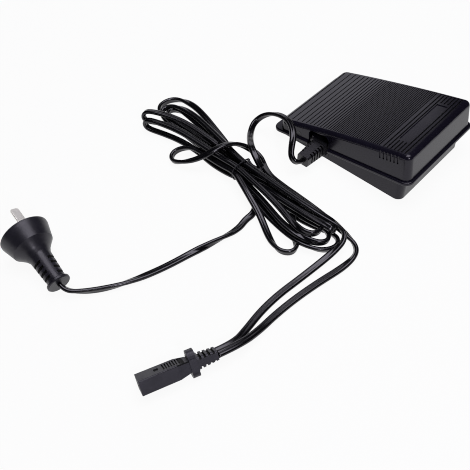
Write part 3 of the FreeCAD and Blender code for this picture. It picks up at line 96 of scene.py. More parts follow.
# How high the fine grain of a surface stands before its strength is applied, in metres
BUMP_HEIGHT = 0.2 * MM


def scratched(tree, place, height, strength):
    """The height with sparse hairlines cut into it, one way across the surface, 1.1 mm wide and 25 mm long."""
    lines = add(
        tree, "ShaderNodeMapping", {"Scale": (40, 900, 40), "Rotation": (0.0, 0.3, 0.6)},
        {"Vector": place.outputs["Object"]})
    marks = add(tree, "ShaderNodeTexNoise", {"Scale": 1.0, "Detail": 1.0}, {"Vector": lines.outputs["Vector"]})
    few = add(tree, "ShaderNodeMapRange", {"From Min": 0.68, "From Max": 0.72}, {"Value": marks.outputs["Fac"]})
    both = add(
        tree, "ShaderNodeMath", {"operation": "MULTIPLY_ADD", 1: -strength}, {0: few.outputs["Result"], 2: height})
    return both.outputs["Value"]


def surface(name, dark, light, rough, grain, bump, patches, metal=0.0, specular=0.5, stretch=(1, 1, 1),
            scratches=0.0):
    """A moulded, drawn or coated surface: two close tones in soft patches, uneven gloss, fine grain.

    grain and patches are the sizes of the pattern in millimetres. The grain of these surfaces is really 0.05 to 0.3 mm,
    too fine to show at 0.75 mm to the pixel, so each is drawn several times as coarse and very shallow.
    """
    material = bpy.data.materials.new(name)
    material.use_nodes = True
    tree = material.node_tree
    shader = tree.nodes["Principled BSDF"]
    place = add(tree, "ShaderNodeTexCoord")
    spread = add(tree, "ShaderNodeMapping", {"Scale": stretch}, {"Vector": place.outputs["Object"]})
    soft = add(
        tree, "ShaderNodeTexNoise", {"Scale": 1 / (patches * MM), "Detail": 4.0}, {"Vector": spread.outputs["Vector"]})
    fine = add(
        tree, "ShaderNodeTexNoise", {"Scale": 1 / (grain * MM), "Detail": 2.0}, {"Vector": spread.outputs["Vector"]})
    tone = ramp(tree, soft.outputs["Fac"], [(0.3, linear(dark)), (0.7, linear(light))])
    gloss = add(
        tree, "ShaderNodeMapRange",
        {"From Min": 0.3, "From Max": 0.7, "To Min": rough[0], "To Max": rough[1]}, {"Value": soft.outputs["Fac"]})
    height = fine.outputs["Fac"]
    if scratches:
        height = scratched(tree, place, height, scratches)
    relief = add(tree, "ShaderNodeBump", {"Strength": bump, "Distance": BUMP_HEIGHT}, {"Height": height})
    tree.links.new(tone, shader.inputs["Base Color"])
    tree.links.new(gloss.outputs["Result"], shader.inputs["Roughness"])
    tree.links.new(relief.outputs["Normal"], shader.inputs["Normal"])
    shader.inputs["Metallic"].default_value = metal
    if not metal:
        shader.inputs["Specular IOR Level"].default_value = specular
        shader.inputs["Specular Tint"].default_value = (0.95, 0.92, 1.0, 1.0)
    return material


# Materials of the outside. Polished injection-moulded ABS of the cover: gloss black with a violet tint, a few hairlines
polished_abs = surface("polished_abs", "#12101a", "#171521", (0.16, 0.24), 0.667, 0.01, 41.7, specular=0.38,
                       scratches=0.25)
# Painted shade for the hollows: the same ABS, matt, in a colour darker than the surfaces round it, put in the grooves
# of the cover and the slots of the plug, connector and strain relief, so that they read as dark lines
painted_shade_abs = surface("painted_shade_abs", "#050506", "#08080a", (0.55, 0.7), 0.556, 0.04, 16.7, specular=0.2)
# Plain injection-moulded ABS of the tray: duller than the cover, with wide soft lights
moulded_abs = surface("moulded_abs", "#13111a", "#191621", (0.26, 0.36), 0.714, 0.02, 33.3, specular=0.36)
# Extruded PVC sheath of the flat cord: deep black with thin bright lines along its edges
extruded_pvc = surface("extruded_pvc", "#060608", "#0b0b0e", (0.17, 0.23), 2.5, 0.003, 40.0, specular=0.55)
# Soft moulded PVC of the strain relief: a dull sheen on the ribs
soft_pvc = surface("soft_pvc", "#151418", "#1d1c21", (0.36, 0.48), 0.455, 0.05, 14.3)
# Moulded PVC of the plug: satin, with one broad light down the skirt
satin_pvc = surface("satin_pvc", "#1b1a20", "#24232b", (0.3, 0.42), 0.417, 0.04, 22.2)
# Spark-textured PVC of the connector: dark grey and even, without clear lights
textured_pvc = surface("textured_pvc", "#28272e", "#34333b", (0.42, 0.52), 0.313, 0.1, 16.7)
# Nickel-plated brass of the blades: pale and softly drawn along their length
nickel_plate = surface("nickel_plate", "#e4e1dc", "#f0ede8", (0.42, 0.52), 2.0, 0.03, 20.0, 1.0, stretch=(1, 6, 6))
# Bare brass of the sockets: a warm glint in the dark bores
bare_brass = surface("bare_brass", "#a98a4d", "#c8a866", (0.3, 0.42), 1.43, 0.05, 12.5, 1.0)
# Blackened steel of the hinge pins: close to the plastic, a little greyer
blackened_steel = surface("blackened_steel", "#141416", "#202124", (0.3, 0.42), 1.11, 0.05, 8.33)
# Thin PVC coat on the wire of the tie: dark grey, dull
coated_wire = surface("coated_wire", "#2a2a2e", "#3b3b40", (0.35, 0.5), 0.556, 0.08, 11.1)

# Materials inside the tray and under it. Zinc-plated steel: bright grey with uneven gloss
zinc_steel = surface("zinc_steel", "#8c8d8f", "#b5b6b8", (0.26, 0.42), 1.11, 0.06, 11.1, 1.0)
# Moulded rubber of the feet and bumpers: flat black
moulded_rubber = surface("moulded_rubber", "#141414", "#1d1d1e", (0.6, 0.75), 0.5, 0.2, 16.7)
# Phenolic paper laminate of the board: tan with a faint cloudiness
phenolic_laminate = surface("phenolic_laminate", "#7f6238", "#94744a", (0.3, 0.42), 0.625, 0.1, 11.1)
# Pressed card of the insulation sheet: brown, dry, with long fibres
pressed_card = surface("pressed_card", "#7c5f3e", "#93734e", (0.6, 0.75), 0.833, 0.25, 14.3, stretch=(1, 5, 1))
# Moulded nylon of the terminals and the clamp: milky white
moulded_nylon = surface("moulded_nylon", "#cfcfc6", "#dddcd4", (0.4, 0.52), 0.667, 0.08, 8.33)
# Moulded epoxy of the triac: black, faintly sandy
moulded_epoxy = surface("moulded_epoxy", "#121213", "#1b1b1d", (0.4, 0.55), 0.385, 0.2, 6.67)
# Drawn aluminium of the heat sink: light grey with fine lines one way
drawn_aluminium = surface("drawn_aluminium", "#a6a8ab", "#c3c5c8", (0.3, 0.45), 1.43, 0.12, 16.7, 1.0,
                          stretch=(1, 14, 1))
# Dipped epoxy of the suppression capacitor: mustard yellow, smooth
dipped_epoxy = surface("dipped_epoxy", "#a3842c", "#b89638", (0.34, 0.46), 0.667, 0.08, 7.14)
# Shrunk vinyl sleeve of the timing capacitor: dark blue, glossy
shrunk_vinyl = surface("shrunk_vinyl", "#1d2a4a", "#26365c", (0.28, 0.4), 0.714, 0.05, 7.14)
# Sintered ferrite of the choke: dark grey and dry
sintered_ferrite = surface("sintered_ferrite", "#26262a", "#34343a", (0.55, 0.7), 0.417, 0.3, 5.56)
# Enamelled copper of the winding: reddish and shiny
enamelled_copper = surface("enamelled_copper", "#8c4524", "#ad5a31", (0.24, 0.36), 1.11, 0.06, 5.0, 1.0)
# Dipped lacquer of the resistors: beige
dipped_lacquer = surface("dipped_lacquer", "#a8926a", "#c0aa80", (0.34, 0.48), 0.667, 0.08, 3.85)
# Moulded acetal of the slider's wiper: off-white, waxy
moulded_acetal = surface("moulded_acetal", "#bdb9ae", "#d0ccc1", (0.34, 0.46), 0.769, 0.06, 9.09)
# Extruded PVC of the inner wires, in the two colours of live and neutral
brown_pvc = surface("brown_pvc", "#4a2c1c", "#5d3926", (0.3, 0.42), 1.11, 0.04, 8.33)
blue_pvc = surface("blue_pvc", "#1f3a6b", "#294880", (0.3, 0.42), 1.11, 0.04, 8.33)

# Light: a white sky for the camera, a dark tent round the table and broad soft panels inside it, so that
# gloss black shows clear bands
world = bpy.data.worlds.new("studio")
scene.world = world
world.use_nodes = True
sky = world.node_tree
sky.nodes.clear()
white = add(sky, "ShaderNodeBackground", {"Color": (1, 1, 1, 1), "Strength": 1.0})
add(sky, "ShaderNodeOutputWorld", None, {"Surface": white.outputs[0]})


# The panels look at the middle of the scene
MIDDLE = Vector((0, -0.1, 0))


def panel(name, azimuth, elevation, distance, size, radiance):
    """A soft panel of the given size in metres, in a direction in degrees, as bright as the radiance says."""
    data = bpy.data.lights.new(name, "AREA")
    data.shape = "RECTANGLE"
    data.size = size[0]
    data.size_y = size[1]
    data.energy = radiance * math.pi * size[0] * size[1]
    data.color = (0.95, 0.94, 1.0)
    obj = bpy.data.objects.new(name, data)
    scene.collection.objects.link(obj)
    a = math.radians(azimuth)
    e = math.radians(elevation)
    away = Vector((math.cos(e) * math.cos(a), math.cos(e) * math.sin(a), math.sin(e)))
    obj.location = MIDDLE + away * distance
    obj.rotation_euler = (-away).to_track_quat("-Z", "Y").to_euler()


panel("back_panel", 136, 18, 1.35, (0.70, 0.50), 0.95)
panel("high_panel", 132, 51, 1.35, (0.5, 0.26), 1.3)
panel("top_panel", 90, 86, 1.35, (1.0, 1.0), 4.0)
panel("corner_panel", -28, 38, 1.3, (0.15, 0.22), 34.0)



def square(half, height):
    """The corners of a level square round the origin."""
    return [(x * half, y * half, height) for x, y in ((-1, -1), (1, -1), (1, 1), (-1, 1))]


def stage_object(name, corners, faces, material):
    """A plain piece of the studio, which isn't part of the object."""
    mesh = bpy.data.meshes.new(name)
    mesh.from_pydata(corners, [], faces)
    mesh.materials.append(material)
    obj = bpy.data.objects.new(name, mesh)
    scene.collection.objects.link(obj)
    return obj


# Black felt of the tent: no light of its own, a faint grey in the gloss
felt = bpy.data.materials.new("black_felt")
felt.use_nodes = True
felt.node_tree.nodes["Principled BSDF"].inputs["Base Color"].default_value = (0.12, 0.12, 0.13, 1)
felt.node_tree.nodes["Principled BSDF"].inputs["Roughness"].default_value = 0.9
TENT_HALF, TENT_TOP = 1.9, 2.0
tent = stage_object(
    "tent", square(TENT_HALF, 0.0) + square(TENT_HALF, TENT_TOP),
    [(0, 1, 5, 4), (1, 2, 6, 5), (2, 3, 7, 6), (3, 0, 4, 7), (4, 5, 6, 7)], felt)
tent.visible_camera = False

# White paper of the floor: the camera sees it nearly as bright as the sky, with a soft shadow, and gloss surfaces
# see it bright, but it throws no more light on the object than paper does
GLOW_SHARE = 0.93
FLOOR_HALF, FLOOR_HEIGHT = 3.0, -0.2 * MM
paper = bpy.data.materials.new("white_paper")
paper.use_nodes = True
tree = paper.node_tree
tree.nodes.clear()
path = add(tree, "ShaderNodeLightPath")
matte = add(tree, "ShaderNodeBsdfDiffuse", {"Color": (0.9, 0.9, 0.9, 1)})
glow = add(tree, "ShaderNodeEmission", {"Color": (1, 1, 1, 1), "Strength": 1.0})
gloss_seen = add(
    tree, "ShaderNodeMath", {"operation": "MAXIMUM"},
    {0: path.outputs["Is Glossy Ray"], 1: path.outputs["Is Transmission Ray"]})
background = add(
    tree, "ShaderNodeMath", {"operation": "MAXIMUM"}, {0: path.outputs["Is Camera Ray"], 1: gloss_seen.outputs[0]})
share = add(tree, "ShaderNodeMath", {"operation": "MULTIPLY", 1: GLOW_SHARE}, {0: background.outputs[0]})
mixed = add(tree, "ShaderNodeMixShader", None, {0: share.outputs[0], 1: matte.outputs[0], 2: glow.outputs[0]})
add(tree, "ShaderNodeOutputMaterial", None, {"Surface": mixed.outputs[0]})
stage_object("floor", square(FLOOR_HALF, FLOOR_HEIGHT), [(0, 1, 2, 3)], paper)


# Cords. Control points in millimetres; the free stretches repeat the part's routes, led a
# little closer to the photograph, and each turn of the hank has its own loose shape
PLUG_CORD = [
    (-67.88, -273.75, 8.37), (-62.4, -274.0, 6.9), (-56.2, -268.2, 4.8), (-48.8, -258.4, 3.3), (-41.7, -246.9, 2.9),
    (-34.8, -231.0, 2.0), (-28.0, -210.5, 2.0), (-21.8, -186.0, 3.1), (-16.0, -164.0, 2.1), (-13.4, -149.4, 2.2),
    (-15.2, -139.6, 2.8), (-14.4, -131.8, 3.2), (-18.4, -124.4, 2.9), (-28.6, -117.2, 2.1),
]
MAINS_TURNS = [
    (-50.0, -107.0, 1.8), (-70.0, -106.4, 1.8), (-91.0, -104.8, 1.8), (-118.0, -102.0, 1.8), (-140.0, -99.5, 1.9),
    (-152.5, -98.0, 2.2), (-159.3, -93.0, 2.8), (-159.6, -84.6, 3.4), (-155.6, -77.6, 4.0), (-146.8, -73.6, 5.0),
    (-133.5, -73.8, 5.8), (-117.8, -77.5, 5.8), (-101.0, -82.7, 5.0), (-84.0, -87.6, 3.6), (-66.0, -94.8, 2.2),
    (-50.0, -100.6, 1.8),
    (-36.0, -103.0, 2.0), (-20.0, -107.4, 2.0), (-3.0, -110.8, 2.2), (14.8, -111.4, 2.4), (28.4, -109.6, 2.8),
    (39.2, -107.2, 3.0), (47.2, -107.0, 3.0), (51.0, -112.0, 2.8), (50.4, -118.2, 3.0), (46.4, -124.6, 3.8),
    (39.4, -129.2, 5.2), (29.8, -131.4, 6.0), (15.2, -130.4, 5.4), (-3.5, -127.0, 5.2), (-18.0, -123.0, 6.0),
    (-33.0, -116.6, 5.6), (-50.0, -106.8, 5.1),
    (-68.0, -102.6, 5.0), (-86.7, -99.8, 5.0), (-112.4, -98.6, 5.0), (-128.0, -99.0, 5.6), (-140.2, -99.4, 6.3),
    (-144.5, -96.4, 6.8), (-144.5, -91.8, 7.1), (-140.4, -88.7, 7.3), (-132.6, -87.8, 7.8), (-120.4, -89.2, 8.2),
    (-101.1, -92.3, 7.8), (-85.2, -94.6, 7.0), (-68.0, -98.0, 5.8), (-50.0, -101.0, 5.1),
    (-36.0, -104.4, 5.6), (-20.0, -109.8, 6.6), (-1.1, -112.6, 8.6), (18.1, -112.7, 8.8), (31.4, -111.2, 8.2),
    (39.2, -110.6, 7.4), (44.0, -113.6, 6.8), (44.8, -119.8, 7.0), (39.2, -126.0, 8.0), (26.8, -129.6, 9.6),
    (9.8, -128.0, 9.0), (-10.8, -121.8, 9.2), (-30.7, -116.6, 8.9), (-50.0, -112.6, 7.9),
    (-66.0, -109.0, 6.3), (-84.0, -106.4, 5.3), (-102.7, -104.6, 5.2), (-124.9, -104.4, 5.6), (-139.4, -104.2, 6.2),
    (-147.4, -101.4, 7.0), (-149.2, -95.4, 8.8), (-143.6, -89.4, 10.4), (-132.0, -86.9, 11.4), (-117.0, -87.5, 11.4),
    (-100.8, -91.3, 12.4), (-82.9, -95.6, 13.2), (-66.0, -100.0, 13.8), (-50.0, -103.4, 14.0),
]
TAIL_INNER = [
    (-38.0, -104.6, 14.8), (-22.0, -105.8, 15.6), (-6.0, -106.6, 16.0), (12.0, -107.2, 16.3), (29.0, -107.2, 16.2),
    (40.4, -106.0, 15.0), (47.9, -104.6, 11.8), (52.2, -106.2, 9.4), (54.6, -111.6, 8.0), (54.2, -120.4, 6.6),
    (52.4, -131.6, 3.6), (49.4, -154.0, 1.75), (46.9, -175.0, 1.75), (46.9, -194.0, 1.9), (49.6, -211.5, 3.2),
    (52.0, -226.0, 6.4), (47.37, -239.38, 7.23),
]
PEDAL_CORD = [
    (-18.8, -67.05, 10.5), (-18.7, -70.9, 10.8), (-20.8, -74.6, 12.8), (-25.2, -74.4, 15.8), (-29.6, -68.8, 18.6),
    (-35.2, -59.6, 22.2), (-41.2, -54.2, 24.2), (-49.2, -50.2, 24.8), (-58.6, -48.8, 23.6), (-68.4, -48.8, 19.4),
    (-75.8, -51.8, 14.0), (-78.0, -59.0, 9.8), (-74.4, -66.6, 8.2), (-68.4, -74.6, 10.2), (-61.6, -82.0, 14.4),
    (-54.6, -88.6, 17.0), (-47.4, -92.4, 15.8), (-41.2, -94.4, 11.6),
]
PEDAL_TURNS = [
    (-35.4, -94.4, 6.4), (-26.8, -95.4, 4.4), (-13.5, -98.4, 4.4), (-2.0, -102.6, 5.4), (5.2, -108.4, 6.0),
    (9.8, -114.2, 5.2), (14.4, -119.8, 3.8), (19.6, -125.0, 2.9), (25.6, -129.6, 2.8), (30.6, -134.6, 2.8),
    (30.6, -141.2, 2.8), (24.4, -145.4, 2.8), (16.2, -144.2, 2.8), (7.6, -140.0, 2.8), (-2.4, -134.0, 3.6),
    (-11.6, -129.4, 6.4), (-23.4, -125.0, 9.4), (-36.5, -119.6, 11.2), (-50.0, -113.4, 11.2),
    (-63.8, -114.0, 9.8), (-78.0, -113.4, 8.8), (-90.8, -113.0, 8.4), (-98.6, -115.2, 7.6), (-104.6, -120.2, 6.0),
    (-107.2, -125.6, 4.2), (-105.2, -131.0, 3.0), (-98.8, -133.2, 3.6), (-88.6, -128.4, 7.7), (-82.0, -123.7, 11.4),
    (-76.6, -118.8, 15.8), (-73.3, -112.8, 18.9), (-71.2, -105.8, 19.9), (-69.2, -98.4, 18.7), (-66.2, -92.1, 16.0),
    (-61.5, -87.2, 12.4), (-54.5, -84.8, 9.6), (-47.4, -85.6, 8.2), (-41.0, -89.4, 7.8), (-34.8, -94.2, 10.2),
    (-24.2, -99.8, 12.4), (-9.8, -101.0, 12.4), (5.2, -103.2, 13.0), (20.6, -104.4, 13.2), (29.6, -107.4, 12.2),
    (35.2, -112.6, 11.4), (37.4, -118.8, 11.6), (34.6, -124.8, 12.8), (26.8, -127.2, 13.0), (15.8, -124.6, 12.8),
    (0.8, -119.4, 12.6), (-15.4, -116.0, 13.6), (-32.4, -113.4, 13.8), (-50.0, -110.6, 14.4),
    (-66.2, -110.9, 13.6), (-82.3, -110.6, 13.2), (-98.6, -110.3, 13.0), (-115.5, -111.0, 13.0), (-131.4, -114.4, 13.2),
    (-143.8, -119.0, 13.8), (-147.0, -120.2, 10.8), (-147.0, -120.2, 6.6), (-143.8, -119.2, 3.6), (-130.5, -115.2, 3.5),
    (-116.0, -112.6, 4.2), (-104.0, -111.6, 4.2), (-90.0, -112.0, 4.4), (-70.0, -114.4, 4.2), (-50.0, -112.8, 4.6),
    (-38.0, -110.2, 7.6), (-19.3, -110.6, 11.0), (2.8, -112.3, 12.4), (20.9, -113.2, 14.2), (32.2, -112.8, 15.0),
    (41.4, -112.6, 15.8), (44.6, -111.0, 13.5), (44.6, -108.3, 10.5), (41.6, -106.4, 8.5), (28.4, -105.4, 7.6),
    (16.0, -105.2, 7.6), (-3.3, -104.6, 9.0), (-24.0, -104.4, 9.4), (-50.0, -106.8, 8.6),
    (-64.0, -107.0, 8.8), (-80.0, -106.8, 8.7), (-101.6, -106.0, 8.4), (-121.8, -106.1, 8.0), (-137.9, -109.7, 7.4),
    (-149.6, -115.4, 6.2), (-153.0, -116.6, 9.3), (-152.8, -115.6, 13.6), (-149.2, -113.2, 16.6),
    (-136.4, -106.6, 15.9), (-121.7, -102.1, 14.8), (-107.7, -100.5, 13.8), (-92.3, -99.9, 12.4),
    (-76.0, -99.4, 10.4), (-62.0, -99.2, 9.2), (-50.0, -99.8, 8.6),
]
TAIL_OUTER = [
    (-38.0, -97.6, 8.6), (-20.0, -97.8, 8.4), (-3.3, -98.2, 8.2), (17.2, -99.4, 8.0), (33.9, -101.0, 7.6),
    (45.7, -102.0, 6.6), (52.8, -102.3, 4.9), (59.5, -103.2, 3.2), (65.0, -107.6, 2.8), (67.0, -115.4, 2.7),
    (65.6, -128.0, 1.8), (61.2, -148.0, 1.75), (57.6, -170.0, 1.75), (56.0, -190.0, 2.0), (56.4, -206.0, 3.4),
    (56.7, -224.5, 9.6), (51.08, -240.99, 10.49),
]

# How far each cord has rolled about its own line, in degrees, at so many millimetres from its start
MAINS_ROLLS = [(0, 90), (34, 90), (62, 172), (98, 184), (118, 268), (140, 356), (160, 360), (1600, 360)]
PEDAL_ROLLS = [(0, 0)]


def route_line(points):
    """The smooth line of one open NURBS route."""
    curve = bpy.data.curves.new("route", "CURVE")
    curve.dimensions = "3D"
    curve.resolution_u = 10
    spline = curve.splines.new("NURBS")
    spline.points.add(len(points) - 1)
    for point, at in zip(spline.points, points):
        point.co = (at[0] * MM, at[1] * MM, at[2] * MM, 1.0)
    spline.order_u = 3
    spline.use_endpoint_u = True
    holder = bpy.data.objects.new("route", curve)
    scene.collection.objects.link(holder)
    bpy.context.view_layer.update()
    mesh = bpy.data.meshes.new_from_object(holder)
    line = np.array([vertex.co[:] for vertex in mesh.vertices])
    bpy.data.objects.remove(holder)
    bpy.data.meshes.remove(mesh)
    return line


def even_steps(line, step):
    """The same line with its points one step apart."""
    gaps = np.linalg.norm(np.diff(line, axis=0), axis=1)
    line = line[np.concatenate([[True], gaps > 1e-9])]
    along = np.concatenate([[0.0], np.cumsum(np.linalg.norm(np.diff(line, axis=0), axis=1))])
    count = int(round(along[-1] / step))
    at = np.linspace(0.0, along[-1], count + 1)
    return np.stack([np.interp(at, along, line[:, k]) for k in range(3)], axis=1)


def smooth(values, width):
    """Average along the path over so many steps, with the ends held."""
    reach = int(width * 3)
    kernel = np.exp(-0.5 * (np.arange(-reach, reach + 1) / width) ** 2)
    kernel /= kernel.sum()
    padded = np.concatenate([np.repeat(values[:1], reach, 0), values, np.repeat(values[-1:], reach, 0)])
    return np.stack([np.convolve(padded[:, k], kernel, "valid") for k in range(values.shape[1])], axis=1)


CORD_WIDTH = 5.6 * MM
CORD_THICK = 3.2 * MM
# Height of the groove between the cores, as a share of half the thickness
CORD_GROOVE = 0.86
STEP = 1.3 * MM
# Bends of more than EDGE_FROM start to turn the cord on edge, and EDGE_SPAN more does it wholly, in 1/m
EDGE_FROM = 18.0
EDGE_SPAN = 45.0
# The cord leans a little at random, and changes its lean over so many steps, except where it lies on the floor
LEAN = 0.12
LEAN_STEPS = 30


def wide_sides(line, seed, rolls):
    """Direction of the flat cord's wide side: level on straight runs, turned on edge in bends and where it rolls."""
    tangent = np.gradient(line, axis=0)
    tangent /= np.linalg.norm(tangent, axis=1)[:, None]
    tangent = smooth(tangent, 2.0)
    tangent /= np.linalg.norm(tangent, axis=1)[:, None]
    bend = smooth(np.gradient(tangent, axis=0) / STEP, 4.0)
    curvature = np.linalg.norm(bend, axis=1)
    rise = np.array([0.0, 0.0, 1.0])
    level = np.cross(tangent, rise)
    level /= np.maximum(np.linalg.norm(level, axis=1), 1e-6)[:, None]
    edge = np.cross(tangent, bend / np.maximum(curvature, 1e-6)[:, None])
    share = np.clip((curvature - EDGE_FROM) / EDGE_SPAN, 0.0, 1.0)[:, None]
    share = share * share * (3 - 2 * share)
    rng = np.random.default_rng(seed)
    marks = np.arange(0, len(line) + LEAN_STEPS, LEAN_STEPS)
    lean = np.interp(np.arange(len(line)), marks, rng.normal(0, LEAN, len(marks)))
    off_floor = np.clip((line[:, 2] / MM - 2.0) / 3.0, 0.0, 1.0)
    # The section looks alike both ways round, so each direction is taken on the side of the one before it
    side = [level[0]]
    for here, fold, part in zip(level[1:], edge[1:], share[1:]):
        before = side[-1]
        here = here if here @ before > 0 else -here
        fold = fold if fold @ before > 0 else -fold
        both = here * (1 - part) + fold * part
        side.append(both / np.linalg.norm(both))
    side = smooth(np.array(side) + rise * (lean * off_floor)[:, None], 6.0)
    side -= tangent * (side * tangent).sum(axis=1)[:, None]
    side /= np.linalg.norm(side, axis=1)[:, None]
    at = np.arange(len(line)) * STEP / MM
    turn = np.radians(np.interp(at, [a for a, _ in rolls], [b for _, b in rolls]))
    turn = smooth(turn[:, None], 3.0)
    side = side * np.cos(turn) + np.cross(tangent, side) * np.sin(turn)
    return tangent, side


def cord_outline():
    """Section of two moulded cores with a shallow groove between them."""
    radius = CORD_THICK / 2
    offset = CORD_WIDTH / 2 - radius
    points = []
    for sign, first in ((1, -108), (-1, 72)):
        for k in range(9):
            angle = math.radians(first + 27 * k)
            points.append((sign * offset + radius * math.cos(angle), radius * math.sin(angle)))
        points.append((0.0, sign * radius * CORD_GROOVE))
    return points


# Nothing of a cord comes nearer to the floor than this
FLOOR_GAP = 0.05 * MM


def flat_cord(name, route, seed, rolls, material):
    """One flat cord along its route, as a closed skin of rings, and the line that it follows."""
    line = even_steps(route_line(route), STEP)
    tangent, side = wide_sides(line, seed, rolls)
    outline = cord_outline()
    thin = np.cross(side, tangent)
    count = len(outline)
    vertices = []
    for at, s, t in zip(line, side, thin):
        ring = [at + s * a + t * b for a, b in outline]
        lift = max(0.0, FLOOR_GAP - min(p[2] for p in ring))
        vertices += [(p[0], p[1], p[2] + lift) for p in ring]
    faces = []
    for i in range(len(line) - 1):
        a = i * count
        for k in range(count):
            n = (k + 1) % count
            faces.append((a + k, a + n, a + count + n, a + count + k))
    faces.append(tuple(range(count - 1, -1, -1)))
    faces.append(tuple(range(len(vertices) - count, len(vertices))))
    mesh = bpy.data.meshes.new(name)
    mesh.from_pydata(vertices, [], faces)
    mesh.materials.append(material)
    mesh.polygons.foreach_set("use_smooth", [True] * len(mesh.polygons))
    bm = bmesh.new()
    bm.from_mesh(mesh)
    bmesh.ops.recalc_face_normals(bm, faces=bm.faces)
    bm.to_mesh(mesh)
    bm.free()
    obj = bpy.data.objects.new(name, mesh)
    scene.collection.objects.link(obj)
    return obj, line


def crisp_copy(node_name, name, material, sharp_from=24.0):
    """A node's surface with its loose triangles joined and flat faces shaded flat. Edges over sharp_from stay sharp."""
    source = NODES[node_name].data
    bm = bmesh.new()
    bm.from_mesh(source)
    bmesh.ops.remove_doubles(bm, verts=bm.verts, dist=1e-6)
    bmesh.ops.dissolve_degenerate(bm, edges=bm.edges, dist=1e-7)
    for edge in bm.edges:
        edge.smooth = edge.calc_face_angle(math.pi) < math.radians(sharp_from)
    for face in bm.faces:
        face.smooth = True
    mesh = bpy.data.meshes.new(name)
    bm.to_mesh(mesh)
    bm.free()
    for layer in ("custom_normal", "sharp_face"):
        if layer in mesh.attributes:
            mesh.attributes.remove(mesh.attributes[layer])
    mesh.materials.clear()
    mesh.materials.append(material)
    rough = bpy.data.objects.new(name + "_rough", mesh)
    scene.collection.objects.link(rough)
    weigh = rough.modifiers.new("weigh", "WEIGHTED_NORMAL")
    weigh.keep_sharp = True
    weigh.weight = 100
    bpy.context.view_layer.update()
    finished = bpy.data.meshes.new_from_object(rough.evaluated_get(bpy.context.evaluated_depsgraph_get()))
    finished.name = name
    bpy.data.objects.remove(rough)
    obj = bpy.data.objects.new(name, finished)
    scene.collection.objects.link(obj)
    return obj


def own_surface(node_name, name, material, body):
    """A crisp copy that stands for its node and rides where the node does."""
    obj = crisp_copy(node_name, name, material)
    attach(obj, body)
    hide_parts(node_name)
    return obj


def paint_shade_on_faces(obj, material, inside):
    """The faces that the test finds get the second material, which is painted shade: darker and matt, for hollows where
    shade falls.
    """
    obj.data.materials.append(material)
    for face in obj.data.polygons:
        if inside(np.array(face.center), np.array(face.normal)):
            face.material_index = 1


# The mains plug, with the slots of its boot. Lengths run from its face along its axis, in millimetres
PLUG_AT = np.array((-115.0, -266.3, 18.42)) * MM
PLUG_AXIS = np.array((0.9665, -0.1528, -0.2062))
PLUG_AXIS = PLUG_AXIS / np.linalg.norm(PLUG_AXIS)
PLUG_BOOT_FROM, PLUG_BOOT_LENGTH = 23.5, 22.6
PLUG_BOOT_RADIUS, PLUG_BOOT_TAPER = 8.1, 1.25
PLUG_SLOTS = (28.3, 43.6)
SKIN = 0.3
plug = own_surface("plug_body", "plug_body_moulding", satin_pvc, "pedal_base")


def in_plug_slot(centre, normal):
    along = (centre - PLUG_AT) @ PLUG_AXIS
    away = np.linalg.norm(centre - PLUG_AT - along * PLUG_AXIS) / MM
    along /= MM
    radius = PLUG_BOOT_RADIUS - PLUG_BOOT_TAPER * (along - PLUG_BOOT_FROM) / PLUG_BOOT_LENGTH
    return PLUG_SLOTS[0] < along < PLUG_SLOTS[1] and away < radius - SKIN


# Painted shade: the faces inside the boot's slots get the darker matt material
paint_shade_on_faces(plug, painted_shade_abs, in_plug_slot)

# The machine connector, with the slots of its boot and its grip ribs and dimple. It is rolled on its axis, and heights
# are measured from that axis, in millimetres
CONN_AT = np.array((28.8, -288.6, 8.15)) * MM
CONN_AXIS = np.array((0.3886, 0.9213, 0.0135))
CONN_AXIS = CONN_AXIS / np.linalg.norm(CONN_AXIS)
CONN_ROLL = math.radians(38.9)
CONN_SLOTS, CONN_WEB = (38.7, 52.2), 2.4
CONN_GRIP, CONN_GRIP_FLOOR, CONN_GRIP_TOP = (11.0, 31.0), 3.8, 4.75
conn_level = np.cross(CONN_AXIS, (0.0, 0.0, 1.0))
conn_level /= np.linalg.norm(conn_level)
conn_rise = np.cross(conn_level, CONN_AXIS)
conn_up = conn_rise * math.cos(CONN_ROLL) - conn_level * math.sin(CONN_ROLL)
connector = own_surface(
    "connector_body", "connector_body_moulding", textured_pvc, "pedal_base")


def in_connector_slot(centre, normal):
    along = (centre - CONN_AT) @ CONN_AXIS / MM
    height = (centre - CONN_AT) @ conn_up / MM
    facing = abs(normal @ CONN_AXIS)
    if CONN_SLOTS[0] < along < CONN_SLOTS[1]:
        return facing > 0.9 or abs(abs(height) - CONN_WEB) < 0.1
    if CONN_GRIP[0] < along < CONN_GRIP[1] and height > CONN_GRIP_FLOOR:
        return facing > 0.9 or height < CONN_GRIP_TOP
    return False


# Painted shade: the faces in the boot's slots and among the grip ribs and dimple get the darker matt material
paint_shade_on_faces(connector, painted_shade_abs, in_connector_slot)

# The two cords
mains_cord, mains_line = flat_cord(
    "mains_cord_flat", PLUG_CORD + MAINS_TURNS + TAIL_INNER, 3, MAINS_ROLLS, extruded_pvc)
pedal_cord, pedal_line = flat_cord(
    "pedal_cord_flat", PEDAL_CORD + PEDAL_TURNS + TAIL_OUTER, 5, PEDAL_ROLLS, extruded_pvc)
for piece, nodes in (
    (mains_cord, ("mains_cord", "mains_cord_hank", "mains_cord_tail")),
    (pedal_cord, ("pedal_cord", "pedal_cord_hank", "pedal_cord_tail")),
):
    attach(piece, "pedal_base")
    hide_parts(*nodes)


